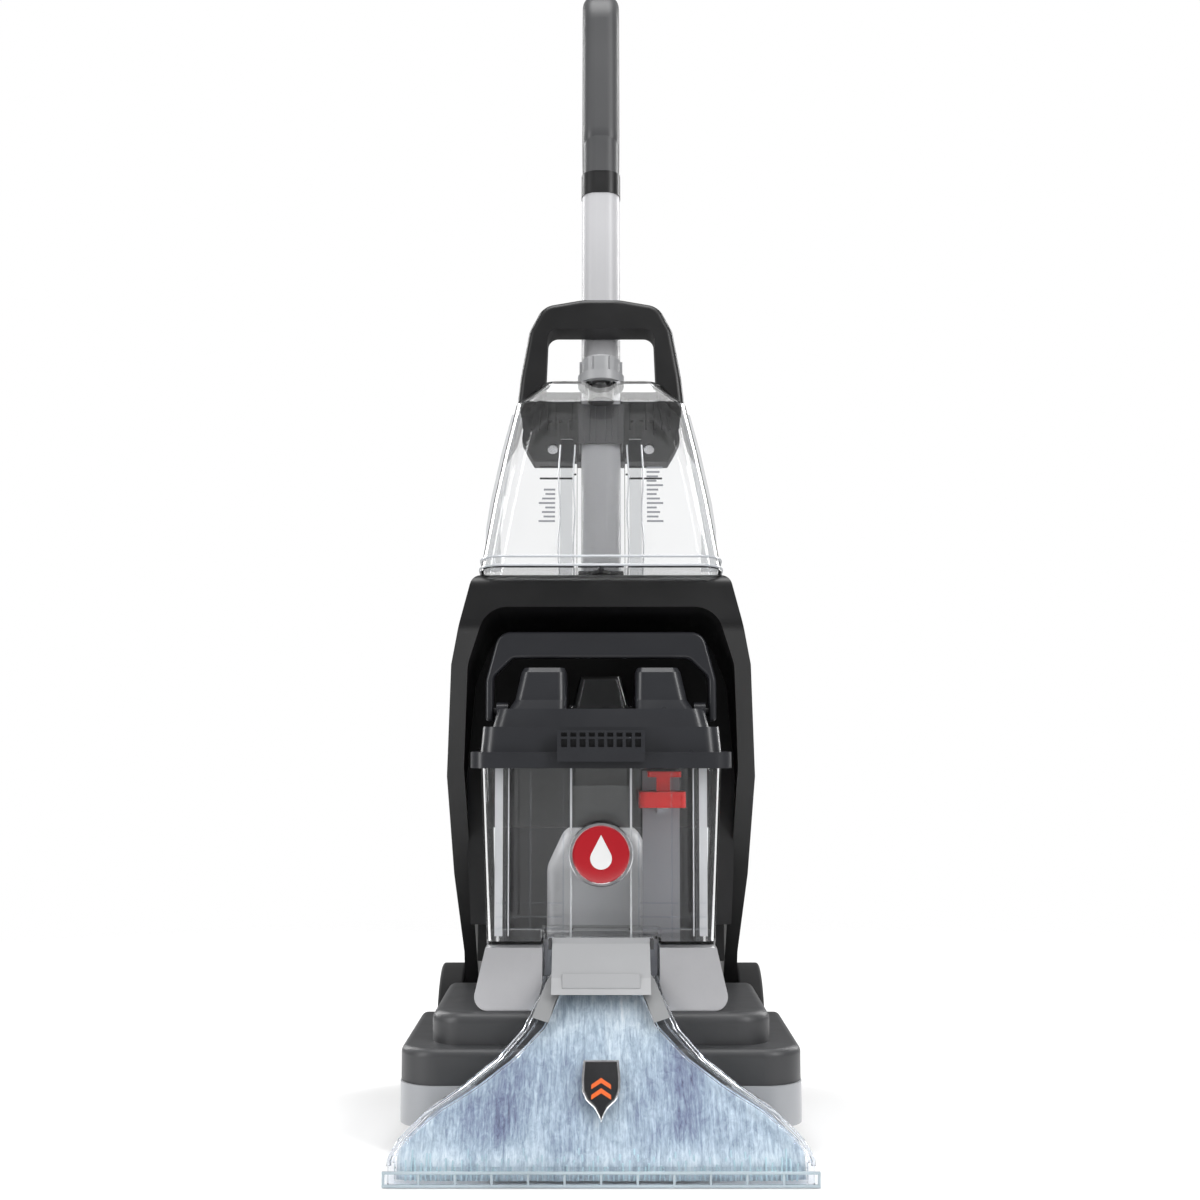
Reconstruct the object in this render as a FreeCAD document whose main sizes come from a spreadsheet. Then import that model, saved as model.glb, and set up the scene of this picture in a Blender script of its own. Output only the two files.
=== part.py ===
"""Upright carpet cleaner: a wheeled base with a clear suction nozzle, six spinning brushes and a removable
dirty water tank, and a handle assembly that leans back on the wheel axle and carries the clean water tank.

Millimetres. +Z is up, -Y is the front, and X is symmetric. Base pieces are drawn with Z measured from the
floor and Y from the middle of the base. Pieces of the handle assembly are drawn upright, with the wheel axle
at Y = Z = 0, and their Placement leans them back by the angle at which the handle locks.
"""

import FreeCAD, Part
import math
import os

import Sketcher

V = FreeCAD.Vector
doc = FreeCAD.newDocument("carpet_cleaner")

# -------------------------------------------------------------------------------------- driving dimensions

DIMENSIONS = [
    # the whole machine
    ("origin_shift", 5.5, "moves the middle of the whole machine's depth to Y = 0"),
    ("lean_angle", 10, "backward lean of the locked handle assembly, degrees"),
    ("gap", 0.3, "clearance between neighbouring pieces"),
    ("wall", 3, "usual moulding thickness"),
    ("clear_wall", 2.6, "wall of the clear mouldings"),
    # wheels
    ("axle_y", 104, "axle behind the middle of the base"),
    ("axle_z", 62, "axle height, which is also the wheel radius"),
    ("axle_radius", 4, "axle rod"),
    ("wheel_outer", 157, "outer face of each wheel"),
    ("wheel_width", 24, "tyre width"),
    ("hub_radius", 51, "wheel disc"),
    # base
    ("chassis_rear_half", 117, "half width of the tray between the frame legs"),
    ("chassis_floor", 12, "underside of the tray"),
    ("skirt_low", 24, "bottom of the side skirts"),
    ("skirt_high", 58, "top of the side skirts"),
    ("cover_half", 171, "half width of the lower terrace of the base cover"),
    ("terrace_low", 88, "height of the lower terrace"),
    ("terrace_high", 115, "height of the upper terrace"),
    ("terrace_half", 146, "half width of the upper terrace"),
    ("cradle_top", 168.5, "shelf that the dirty tank slides on"),
    # nozzle
    ("nozzle_half", 167, "half width of the suction mouth"),
    ("nozzle_front", -240, "front lip of the suction mouth"),
    ("neck_half", 46, "half width of the nozzle's neck"),
    ("neck_top", 176, "top of the nozzle's neck"),
    ("channel_depth", 9, "gap of the suction channel"),
    # brushes
    ("brush_pitch", 46, "distance between brush spindles, and the gears' pitch diameter"),
    ("brush_row", -118, "spindle line in front of the middle"),
    ("gear_teeth", 16, "teeth of each brush gear"),
    ("gear_low", 39, "underside of the brush gears"),
    ("gear_width", 6, "face width of the brush gears"),
    # dirty tank
    ("tank_half_top", 106, "half width of the dirty tank under its lid"),
    ("tank_half_bottom", 100, "half width of the dirty tank at its floor"),
    ("tank_front", -104, "front wall of the dirty tank"),
    ("tank_back", -8, "back wall of the dirty tank"),
    ("tank_rim", 322, "top edge of the dirty tank"),
    ("notch_top", 178.5, "raised floor over the nozzle's neck"),
    ("lid_top", 362, "deck of the dirty tank's lid"),
    ("lid_half", 114.5, "half width of the lid's flange"),
    # handle frame
    ("frame_top", 400, "seat of the clean tank above the axle"),
    ("frame_front", -246, "front of the frame's top"),
    ("frame_back", -128, "back of the frame's top"),
    ("opening_top", 371, "top of the frame's front opening"),
    ("leg_inner", 118.5, "inner face of the frame's legs at the axle"),
    ("leg_outer", 131.5, "outer face of the frame's legs at the axle"),
    # clean tank
    ("clean_bottom", 402, "floor of the clean tank above the axle"),
    ("clean_half", 110, "half width of the clean tank's foot"),
    ("clean_front", -252, "front of the clean tank's foot"),
    ("clean_back", -150, "back of the clean tank"),
    ("slot_half", 23, "half width of the slot for the handle tube"),
    # tube and grip
    ("tube_centre", -172, "centre line of the handle tube"),
    ("tube_half", 19, "half width of the oval handle tube"),
    ("tube_depth", 30, "front to back size of the handle tube"),
    ("tube_top", 812, "top of the handle tube"),
    ("grip_top", 1059, "top of the hand grip above the axle"),
]

sheet = doc.addObject("Spreadsheet::Sheet", "Dims")
for row, (alias, value, note) in enumerate(DIMENSIONS, start=1):
    sheet.set(f"A{row}", str(value))
    sheet.setAlias(f"A{row}", alias)
    sheet.set(f"B{row}", note)
doc.recompute()


class Size:
    """A length that knows both its value and the spreadsheet expression that it comes from."""

    def __init__(self, value, text):
        self.value = float(value)
        self.text = text

    def __add__(self, other):
        other = size(other)
        return Size(self.value + other.value, f"({self.text} + {other.text})")

    def __sub__(self, other):
        other = size(other)
        return Size(self.value - other.value, f"({self.text} - {other.text})")

    def __mul__(self, other):
        other = size(other)
        return Size(self.value * other.value, f"({self.text} * {other.text})")

    def __truediv__(self, other):
        other = size(other)
        return Size(self.value / other.value, f"({self.text} / {other.text})")

    def __neg__(self):
        return Size(-self.value, f"(-1 * {self.text})")

    __radd__ = __add__
    __rmul__ = __mul__

    def __rsub__(self, other):
        return size(other) - self


def size(x):
    """x itself if it is a Size, and otherwise a plain number as one."""
    return x if isinstance(x, Size) else Size(x, f"({float(x):.6f})")


class Dims:
    """Every row of the spreadsheet as a Size."""


for alias, _, _ in DIMENSIONS:
    setattr(Dims, alias, Size(sheet.get(alias), f"Dims.{alias}"))
D = Dims


def bind(obj, prop, length):
    """Gives a property of obj the length's expression, so that it follows the spreadsheet."""
    obj.setExpression(prop, size(length).text)


# ------------------------------------------------------------------------------------ drawing and features

NODES = []
PLANES = {"XY": "XY_Plane", "XZ": "XZ_Plane", "YZ": "YZ_Plane"}


def constrain(sketch, kind, geometry, point, length):
    """Fixes one coordinate of a point of a sketch, measured from the sketch's origin."""
    length = size(length)
    n = sketch.addConstraint(Sketcher.Constraint(kind, -1, 1, geometry, point, length.value))
    if "Dims." in length.text:
        sketch.setExpression(f"Constraints[{n}]", length.text)


def draw_circle(sketch, u, v, radius):
    """A full circle, fixed by its centre and radius."""
    radius = size(radius)
    centre = V(size(u).value, size(v).value, 0)
    g = sketch.addGeometry(Part.Circle(centre, V(0, 0, 1), radius.value), False)
    constrain(sketch, "DistanceX", g, 3, u)
    constrain(sketch, "DistanceY", g, 3, v)
    n = sketch.addConstraint(Sketcher.Constraint("Radius", g, radius.value))
    if "Dims." in radius.text:
        sketch.setExpression(f"Constraints[{n}]", radius.text)


def tangent_points(before, corner, after, radius):
    """Where an arc of this radius leaves the two sides that meet at a corner, and the arc's centre."""
    a = (before - corner).normalize()
    b = (after - corner).normalize()
    half = math.acos(max(-1.0, min(1.0, a.dot(b)))) / 2
    reach = radius / math.tan(half)
    centre = corner + (a + b).normalize() * (radius / math.sin(half))
    return corner + a * reach, corner + b * reach, centre


def corner_arc(first, last, centre):
    """The arc between two points about a centre, counter-clockwise, and whether it starts at the first."""
    a, b = first - centre, last - centre
    forward = a.cross(b).z > 0
    start, end = (a, b) if forward else (b, a)
    low, high = math.atan2(start.y, start.x), math.atan2(end.y, end.x)
    whole = Part.Circle(centre, V(0, 0, 1), a.Length)
    return Part.ArcOfCircle(whole, low, high if high > low else high + 2 * math.pi), forward


def draw_outline(sketch, corners):
    """A closed outline of straight sides. A corner is (u, v), or (u, v, radius) where an arc rounds it."""
    points = [V(size(c[0]).value, size(c[1]).value, 0) for c in corners]
    count = len(corners)
    starts, ends, arcs = [None] * count, [None] * count, {}
    for i, corner in enumerate(corners):
        if len(corner) == 3:
            first, last, centre = tangent_points(
                points[i - 1], V(points[i]), points[(i + 1) % count], size(corner[2]).value
            )
            ends[i - 1], starts[i] = first, last
            arcs[i] = (first, last, centre)
        else:
            ends[i - 1], starts[i] = points[i], points[i]
    lines = [sketch.addGeometry(Part.LineSegment(starts[i], ends[i]), False) for i in range(count)]
    for i, corner in enumerate(corners):
        before, after = lines[i - 1], lines[i]
        if i not in arcs:
            sketch.addConstraint(Sketcher.Constraint("Coincident", before, 2, after, 1))
            constrain(sketch, "DistanceX", after, 1, corner[0])
            constrain(sketch, "DistanceY", after, 1, corner[1])
            continue
        first, last, centre = arcs[i]
        curve, forward = corner_arc(first, last, centre)
        arc = sketch.addGeometry(curve, False)
        sketch.addConstraint(Sketcher.Constraint("Coincident", before, 2, arc, 1 if forward else 2))
        sketch.addConstraint(Sketcher.Constraint("Coincident", arc, 2 if forward else 1, after, 1))
        for line, end, touch in ((before, 2, first), (after, 1, last)):
            constrain(sketch, "DistanceX", line, end, size(corner[0]) + (touch.x - points[i].x))
            constrain(sketch, "DistanceY", line, end, size(corner[1]) + (touch.y - points[i].y))
        chord = last - first
        if abs(chord.x) > abs(chord.y):
            constrain(sketch, "DistanceY", arc, 3, size(corner[1]) + (centre.y - points[i].y))
        else:
            constrain(sketch, "DistanceX", arc, 3, size(corner[0]) + (centre.x - points[i].x))


def new_body(label):
    body = doc.addObject("PartDesign::Body", label)
    body.Label = label
    body.AllowCompound = True
    return body


def new_sketch(body, plane, height, outlines):
    """A sketch on a plane parallel to one of the body's own, at a height along X, Y or Z."""
    sketch = body.newObject("Sketcher::SketchObject", "Sketch")
    support = [f for f in body.Origin.OriginFeatures if f.Role == PLANES[plane]][0]
    sketch.AttachmentSupport = [(support, "")]
    sketch.MapMode = "FlatFace"
    offset = -size(height) if plane == "XZ" else size(height)  # the XZ plane's normal is -Y
    sketch.AttachmentOffset = FreeCAD.Placement(V(0, 0, offset.value), FreeCAD.Rotation())
    bind(sketch, ".AttachmentOffset.Base.z", offset)
    for outline in outlines:
        if outline[0] == "circle":
            draw_circle(sketch, *outline[1:])
        else:
            draw_outline(sketch, outline)
    return sketch


def circle(u, v, radius):
    return ("circle", u, v, radius)


def rectangle(u0, u1, v0, v1, radius=None):
    """A rectangle, with all four corners rounded if a radius is given."""
    corners = [(u0, v0), (u1, v0), (u1, v1), (u0, v1)]
    return corners if radius is None else [(u, v, radius) for u, v in corners]


def add(body, plane, outlines, low, high):
    """Pads outlines from low to high along the axis across the plane."""
    sketch = new_sketch(body, plane, high if plane == "XZ" else low, outlines)
    pad = body.newObject("PartDesign::Pad", "Pad")
    pad.Profile = sketch
    bind(pad, "Length", size(high) - size(low))
    doc.recompute()
    return pad


def cut(body, plane, outlines, low, high):
    """Pockets outlines from low to high along the axis across the plane; something must be cut."""
    before = body.Shape.Volume
    sketch = new_sketch(body, plane, low if plane == "XZ" else high, outlines)
    pocket = body.newObject("PartDesign::Pocket", "Pocket")
    pocket.Profile = sketch
    bind(pocket, "Length", size(high) - size(low))
    doc.recompute()
    if not body.Shape.Volume < before - 0.5:
        raise RuntimeError(f"{body.Label}: a pocket cuts nothing")
    return pocket


def turn(body, plane, outline, axis="V"):
    """Revolves an outline a full turn about the sketch's vertical (V) or horizontal (H) axis."""
    sketch = new_sketch(body, plane, 0, [outline])
    feature = body.newObject("PartDesign::Revolution", "Revolution")
    feature.Profile = sketch
    feature.ReferenceAxis = (sketch, [f"{axis}_Axis"])
    feature.Angle = 360
    doc.recompute()
    return feature


def loft(body, plane, sections, subtract=False):
    """Lofts straight between outlines at several heights."""
    sketches = [new_sketch(body, plane, height, [outline]) for height, outline in sections]
    kind = "SubtractiveLoft" if subtract else "AdditiveLoft"
    feature = body.newObject(f"PartDesign::{kind}", "Loft")
    feature.Profile = sketches[0]
    feature.Sections = sketches[1:]
    feature.Ruled = True
    doc.recompute()
    return feature


def dress(body, kind, amount, wanted):
    """Fillets or chamfers the edges of the body for which wanted(middle, direction, edge) is true."""
    base = body.Tip
    names = []
    for n, edge in enumerate(base.Shape.Edges, start=1):
        first, last = edge.ParameterRange
        middle = edge.valueAt((first + last) / 2)
        try:
            direction = edge.tangentAt((first + last) / 2)
        except Part.OCCError:  # an edge with no length
            continue
        if wanted(middle, direction, edge):
            names.append(f"Edge{n}")
    if not names:
        raise RuntimeError(f"{body.Label}: no edge to {kind}")
    feature = body.newObject(f"PartDesign::{kind}", kind)
    feature.Base = (base, names)
    bind(feature, "Radius" if kind == "Fillet" else "Size", amount)
    doc.recompute()
    if "Invalid" in feature.State or "Error" in feature.State or not body.Shape.isValid():
        raise RuntimeError(f"{body.Label}: {kind} of {len(names)} edges failed")
    return feature


def fillet(body, radius, wanted):
    return dress(body, "Fillet", radius, wanted)


def near(a, b, tolerance=0.6):
    return abs(a - size(b).value) < tolerance


def combine(kind, label, base, tool):
    """A boolean of two objects: kind is Part::Cut, Part::Fuse or Part::Common."""
    feature = doc.addObject(kind, label)
    feature.Label = label
    feature.Base, feature.Tool = base, tool
    doc.recompute()
    return feature


def group(label, objects):
    """Several separate solids as one node."""
    feature = doc.addObject("Part::Compound", label)
    feature.Label = label
    feature.Links = objects
    doc.recompute()
    return feature


def cylinder(label, radius, length, position, axis=(0, 0, 1)):
    """A round bar from a point along an axis."""
    bar = doc.addObject("Part::Cylinder", label)
    bar.Label = label
    bind(bar, "Radius", radius)
    bind(bar, "Height", length)
    bar.Placement = FreeCAD.Placement(V(0, 0, 0), FreeCAD.Rotation(V(0, 0, 1), V(*axis)))
    for name, value in zip("xyz", position):
        bind(bar, f".Placement.Base.{name}", value)
    doc.recompute()
    return bar


def spread(body, feature, axis, count):
    """Repeats a feature of a body a full turn about one of its sketch's axes."""
    pattern = body.newObject("PartDesign::PolarPattern", "Pattern")
    pattern.Originals = [feature]
    pattern.Axis = (feature.Profile[0], [axis])
    pattern.Angle = 360
    pattern.Occurrences = count
    body.Tip = pattern
    doc.recompute()
    return pattern


def mirrored(right):
    """A closed outline, symmetric about the vertical axis, from its right-hand corners in order."""
    left = [(-size(corner[0]),) + tuple(corner[1:]) for corner in reversed(right)]
    return list(right) + left


def on_base(obj, label=None, at=(0, 0, 0), spin=0):
    """Sets a base piece down at a point measured from the middle of the base, turned by spin degrees."""
    if label:
        obj.Label = label
    obj.Placement = FreeCAD.Placement(V(0, 0, 0), FreeCAD.Rotation(V(0, 0, 1), spin))
    bind(obj, ".Placement.Base.x", size(at[0]))
    bind(obj, ".Placement.Base.y", size(at[1]) + D.origin_shift)
    bind(obj, ".Placement.Base.z", size(at[2]))
    NODES.append(obj)
    doc.recompute()


def on_frame(obj, label=None, at=(0, 0, 0)):
    """Sets a piece of the handle assembly down at a point measured from the axle, leaning back."""
    if label:
        obj.Label = label
    x, y, z = (size(v) for v in at)
    obj.Placement = FreeCAD.Placement(V(0, 0, 0), FreeCAD.Rotation(V(-1, 0, 0), D.lean_angle.value))
    bind(obj, ".Placement.Base.x", x)
    back = f"{y.text} * cos(Dims.lean_angle) + {z.text} * sin(Dims.lean_angle)"
    up = f"{z.text} * cos(Dims.lean_angle) - {y.text} * sin(Dims.lean_angle)"
    obj.setExpression(".Placement.Base.y", f"Dims.axle_y + Dims.origin_shift + {back}")
    obj.setExpression(".Placement.Base.z", f"Dims.axle_z + {up}")
    NODES.append(obj)
    doc.recompute()


# -------------------------------------------------------------------------------------- chassis and covers

def make_chassis():
    body = new_body("base_chassis")
    add(body, "XY", [[(-158, -148, 26), (158, -148, 26), (158, 34), (-158, 34)]], 50, 54)
    rear = [(-D.chassis_rear_half, -56), (D.chassis_rear_half, -56), (D.chassis_rear_half, 150),
            (-D.chassis_rear_half, 150)]
    add(body, "XY", [rear], D.chassis_floor, 100)
    inside = D.chassis_rear_half - D.wall
    cut(body, "XY", [rectangle(-inside, inside, -53, 147)], D.chassis_floor + D.wall, 101)
    cut(body, "YZ", [circle(D.axle_y, D.axle_z, D.axle_radius + 0.02)], -D.chassis_rear_half - 1,
        D.chassis_rear_half + 1)
    cut(body, "XY", [circle(brush_x(3), D.brush_row + pinion_distance(), 3.6)], 49, 55)
    add(body, "YZ", [[(-152.2, 54), (-152.2, 30), (-207, 30), (-187.5, 54)]], -112, 112)
    add(body, "YZ", [rectangle(-153, -147, 50.2, 54)], -56, 56)
    on_base(body)


def make_rear_deck():
    body = new_body("rear_deck")
    add(body, "XY", [rectangle(-D.chassis_rear_half, D.chassis_rear_half, -3.5, 150)], 100, 104)
    on_base(body)


def make_base_cover():
    """The dark terraces on both sides of the tank's cradle, one hollow moulding."""
    body = new_body("base_cover")
    lower, upper, wall = D.cover_half, D.terrace_half, D.wall

    def terrace(half, front, radius):
        return [(-half, front, radius), (half, front, radius), (half, 36), (-half, 36)]

    add(body, "XY", [terrace(lower, -150, 34)], 58, D.terrace_low)
    add(body, "XY", [terrace(upper, -132, 30)], 58, D.terrace_high)
    fillet(body, 9, lambda m, d, e: near(m.z, D.terrace_high) and abs(d.z) < 0.01 and m.y < 35)
    fillet(body, 7, lambda m, d, e: near(m.z, D.terrace_low) and (m.y < -149 or abs(m.x) > 164 or m.y < -135))
    inner_low = mirrored([(lower - wall, 33), (lower - wall, -147, 31)])
    inner_high = mirrored([(upper - wall, 33), (upper - wall, -129, 27)])
    cut(body, "XY", [inner_low], 57, D.terrace_low - wall)
    cut(body, "XY", [inner_high], 57, D.terrace_high - wall)
    cut(body, "XY", [rectangle(-(D.chassis_rear_half + 1), D.chassis_rear_half + 1, -4, 40)], 57, 116)
    on_base(body)


def make_skirt(side, label):
    """A light side skirt with its front return and the flange that it hangs from."""
    body = new_body(label)
    outer = D.cover_half
    wall = D.wall
    outside = [(60, -152), (outer, -152, 30), (outer, 34)]
    band = outside + [(outer - wall, 34), (outer - wall, -149, 27), (60, -149)]
    flange = outside + [(130, 34), (130, -148.5), (60, -148.5)]
    flange_foot = D.skirt_high - 4
    add(body, "XY", [side_of(band, side)], D.skirt_low, flange_foot)
    add(body, "XY", [side_of(flange, side)], flange_foot, D.skirt_high)
    on_base(body)


def side_of(outline, side):
    """The outline itself on the right, side = 1, or its mirror image on the left, side = -1."""
    if side > 0:
        return outline
    return [(-size(corner[0]),) + tuple(corner[1:]) for corner in outline]


def make_cradle():
    """The two silver panels beside the nozzle's neck, and the shelf behind them for the dirty tank."""
    body = new_body("tank_cradle")
    top = D.cradle_top
    panel = mirrored([(112, D.terrace_high, 12), (99.5, top)])
    add(body, "XZ", [panel], -122, -5)
    cut(body, "XZ", [rectangle(-50.5, 50.5, 110, 180)], -123, -60)
    cut(body, "XY", [rectangle(-93, 93, -57, -8)], 114, top - D.wall)
    for side in (-1, 1):
        cut(body, "XY", [side_of(rectangle(53.5, 93, -119, -60), side)], 114, top - D.wall)
    on_base(body)


def make_brush_housing():
    body = new_body("brush_housing")
    add(body, "XY", [rectangle(-148, 148, -148, -58, 12)], 12, 50)
    cut(body, "XY", [rectangle(-145, 145, -145, -61, 9)], 11, 46.5)
    spindles = [circle(brush_x(i), D.brush_row, 3.05) for i in range(6)]
    spindles.append(circle(brush_x(3), D.brush_row + pinion_distance(), 3.05))
    cut(body, "XY", spindles, 46, 51)
    on_base(body)


def make_spray_bar():
    body = new_body("spray_bar")
    add(body, "XY", [rectangle(-104, 104, -178, -166, 3)], 22, 30)
    tips = [circle(x, -172, 3) for x in (-92, -46, 0, 46, 92)]
    add(body, "XY", tips, 17, 22)
    on_base(body)


# --------------------------------------------------------------------------------------- brushes and gears

def brush_x(index):
    """Where a spindle stands: six in a row, in the middle of the machine."""
    return D.brush_pitch * (index - 2.5)


def pinion_distance():
    """Distance between the pinion and the brush gear that it drives."""
    return D.brush_pitch * (D.gear_teeth + 10) / (D.gear_teeth * 2)


def toothed(body, root, tip, root_half, tip_half, count):
    """A spur gear with straight-flanked teeth."""
    low, high = D.gear_low, D.gear_low + D.gear_width
    add(body, "XY", [circle(0, 0, root)], low, high)
    base = root - 0.6
    tooth = [(base, -root_half), (tip, -tip_half), (tip, tip_half), (base, root_half)]
    first = add(body, "XY", [tooth], low, high)
    spread(body, first, "N_Axis", count)


def make_brush(index):
    body = new_body(f"spin_brush_{index + 1}")
    half = D.brush_pitch / 2
    toothed(body, half - 3.2, half + 2.2, 3.0, 1.25, 16)
    add(body, "XY", [circle(0, 0, 3)], D.gear_low, 49.6)
    add(body, "XY", [circle(0, 0, 21)], 34, D.gear_low)
    tuft = add(body, "XY", [rectangle(10, 19.5, -3, 3)], 4, 34)
    spread(body, tuft, "N_Axis", 8)
    half_pitch = 360 / D.gear_teeth.value / 2
    on_base(body, at=(brush_x(index), D.brush_row, 0), spin=half_pitch * (index % 2))


def make_drive():
    gear = new_body("drive_gear")
    pitch = D.brush_pitch * 10 / (D.gear_teeth * 2)
    toothed(gear, pitch - 3, pitch + 2, 2.9, 1.2, 10)
    add(gear, "XY", [circle(0, 0, 3)], D.gear_low, 60)
    on_base(gear, at=(brush_x(3), D.brush_row + pinion_distance(), 0), spin=18)
    motor = new_body("brush_motor")
    add(motor, "XY", [circle(0, 0, 17)], 54, 84)
    cut(motor, "XY", [circle(0, 0, 3.05)], 53, 61)
    fillet(motor, 3, lambda m, d, e: near(m.z, 84))
    on_base(motor, at=(brush_x(3), D.brush_row + pinion_distance(), 0))


# -------------------------------------------------------------------------------------------------- nozzle

# height, and the share of the flare that is left there
FLARE = [(0, 1), (20, 1), (32, 0.945), (50, 0.78), (66, 0.56), (86, 0.325), (107, 0.155), (131, 0.045),
         (150, 0.01)]
# how far the front surface has come back, and at what height
FRONT = [(0, 0), (0, 14), (105, 142), (134, 176)]


def nozzle_outline(inset, bottom):
    """The nozzle seen from the front: wide at the mouth, with sides that sweep in to a narrow neck."""
    right = []
    for height, share in FLARE:
        z = bottom if height == 0 else height
        right.append((D.neck_half + (D.nozzle_half - D.neck_half) * share - inset, z))
    right.append((D.neck_half - inset, D.neck_top + (5 if bottom < 0 else 0)))
    return mirrored(right)


def nozzle_section(near_y, far_y, bottom=0, extra=0):
    """The nozzle seen from the side: a band that follows its front surface between two depths."""
    points = [(D.nozzle_front + back, height) for back, height in FRONT]
    points[0] = (points[0][0], bottom)
    if extra:
        points.append((points[-1][0] + extra, D.neck_top + extra))
    band = [(y + near_y, z) for y, z in points]
    return band + [(y + far_y, z) for y, z in reversed(points)]


def nozzle_layer(name, near_y, far_y, inset=0, bottom=0, extra=0):
    """One layer of the nozzle: where its side view and its front view agree."""
    section = new_body(f"{name}_section")
    add(section, "YZ", [nozzle_section(near_y, far_y, bottom, extra)], -175, 175)
    outline = new_body(f"{name}_outline")
    add(outline, "XZ", [nozzle_outline(inset, bottom)], D.nozzle_front - 5, -70)
    return combine("Part::Common", f"{name}_layer", section, outline)


PORT_Z = 150.3  # height of the hose socket in the nozzle's neck


def port_hole(name):
    return cylinder(f"{name}_port_hole", 14.8, 60, (0, -150, PORT_Z), (0, 1, 0))


def make_nozzle():
    sheet_depth = D.clear_wall * 1.2
    back = sheet_depth + D.channel_depth * 1.2
    shell = nozzle_layer("nozzle_shell", 0, back)
    channel = nozzle_layer("nozzle_channel", sheet_depth, back + 0.1, inset=5, bottom=-5, extra=6)
    hollow = combine("Part::Cut", "nozzle_hollow", shell, channel)
    on_base(combine("Part::Cut", "nozzle_cover", hollow, port_hole("cover")))
    plate = nozzle_layer("nozzle_plate", back, back + sheet_depth)
    on_base(combine("Part::Cut", "nozzle_back", plate, port_hole("back")))
    lip = new_body("nozzle_lip")
    add(lip, "XY", [rectangle(-171, 171, D.nozzle_front - 3, D.nozzle_front)], 0, 12)
    for i in range(-9, 10):
        x = i * 17.5
        cut(lip, "XY", [rectangle(x - 0.8, x + 0.8, D.nozzle_front - 4, D.nozzle_front - 1.6)], 3, 13)
    on_base(lip)
    badge = new_body("nozzle_badge")
    slope = 105 / 128

    def face(z, proud):
        return (D.nozzle_front + (z - 14) * slope - proud, z)

    section = new_body("badge_section")
    add(section, "YZ", [[face(44, 0), face(86, 0), face(86, 2), face(44, 2)]], -20, 20)
    outline = [(0, 45, 2), (11, 56, 6), (15, 66, 8), (15, 85, 3), (-15, 85, 3), (-15, 66, 8), (-11, 56, 6)]
    add(badge, "XZ", [outline], D.nozzle_front, -160)
    badge.Label = "badge_outline"
    on_base(combine("Part::Common", "nozzle_badge", section, badge))


def neck_face(height, proud):
    """A point in front of the neck's sloping face, at a height."""
    slope = (FRONT[3][0] - FRONT[2][0]) / (FRONT[3][1] - FRONT[2][1])
    return (D.nozzle_front + FRONT[2][0] + (height - 142) * slope - proud, height)


def make_tool_port():
    """The socket for a hose in the neck, and the door over it on the two pins of its lugs."""
    port = new_body("tool_port_socket")
    add(port, "XZ", [circle(0, PORT_Z, 14)], -124.3, -96)
    cut(port, "XZ", [circle(0, PORT_Z, 12.2)], -125, -99)
    lugs = new_body("tool_port_lugs")
    pin_y, pin_z = -118.3, 171
    lug = [(-122, 167), (-122, 175), (-107.4, 175), (-114.2, 167)]
    for side in (-1, 1):
        add(lugs, "YZ", [lug], *sorted((side * 42.5, side * 45.4)))
        add(lugs, "YZ", [circle(pin_y, pin_z, 2)], *sorted((side * 38.5, side * 43)))
    on_base(group("tool_port", [port, lugs]))
    door = new_body("tool_port_door")
    outside = [neck_face(134, 0.6), neck_face(134, 14), neck_face(146, 11.5), (-121, 172), (-118.5, 176.5),
               (-115.3, 175.8), (-113.3, 173), (-113.3, 169), (-116.3, 165)]
    inside = [neck_face(130, -2), neck_face(136, 11), neck_face(146, 8.5), neck_face(166, 8.5),
              neck_face(166, -2)]
    add(door, "YZ", [outside], -42, 42)
    cut(door, "YZ", [inside], -38, 38)
    for side in (-1, 1):
        cut(door, "YZ", [circle(pin_y, pin_z, 2.05)], *sorted((side * 38, side * 43)))
    on_base(door)


# --------------------------------------------------------------------------------------- wheels and pedals

def make_wheel(side, name):
    """A tyre on a hub, turned about X. Its width runs inwards from its outer face."""
    outer = D.wheel_outer
    inner = outer - D.wheel_width

    def ring(x0, x1, r0, r1, radius=None):
        low, high = (x0, x1) if side > 0 else (-size(x1), -size(x0))
        return rectangle(low, high, r0, r1, radius)

    tyre = new_body(f"wheel_tyre_{name}")
    turn(tyre, "XZ", ring(inner, outer, D.hub_radius, D.axle_z, 3), "H")
    on_base(tyre, at=(0, D.axle_y, D.axle_z))
    hub = new_body(f"wheel_hub_{name}")
    bore = D.axle_radius + 0.05
    turn(hub, "XZ", ring(inner, outer - 1, bore, D.hub_radius), "H")
    sides = ((inner - 1, inner + 8), (outer - 8, outer + 1))
    for low, high in sides:
        low, high = (low, high) if side > 0 else (-high, -low)
        cut(hub, "YZ", [circle(0, 0, D.hub_radius - 7), circle(0, 0, 13)], low, high)
    low, high = (inner - 1, outer + 1) if side > 0 else (-(outer + 1), -(inner - 1))
    window = cut(hub, "YZ", [[(20, -6, 3), (38, -11, 4), (38, 11, 4), (20, 6, 3)]], low, high)
    spread(hub, window, "N_Axis", 6)
    on_base(hub, at=(0, D.axle_y, D.axle_z))


def make_axle():
    """The axle rod, headed at both ends to keep the wheels on."""
    body = new_body("rear_axle")
    half = D.wheel_outer + 0.5
    add(body, "YZ", [circle(0, 0, D.axle_radius)], -half, half)
    add(body, "YZ", [circle(0, 0, 10)], half, half + 2.5)
    add(body, "YZ", [circle(0, 0, 10)], -(half + 2.5), -half)
    on_base(body, at=(0, D.axle_y, D.axle_z))


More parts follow.
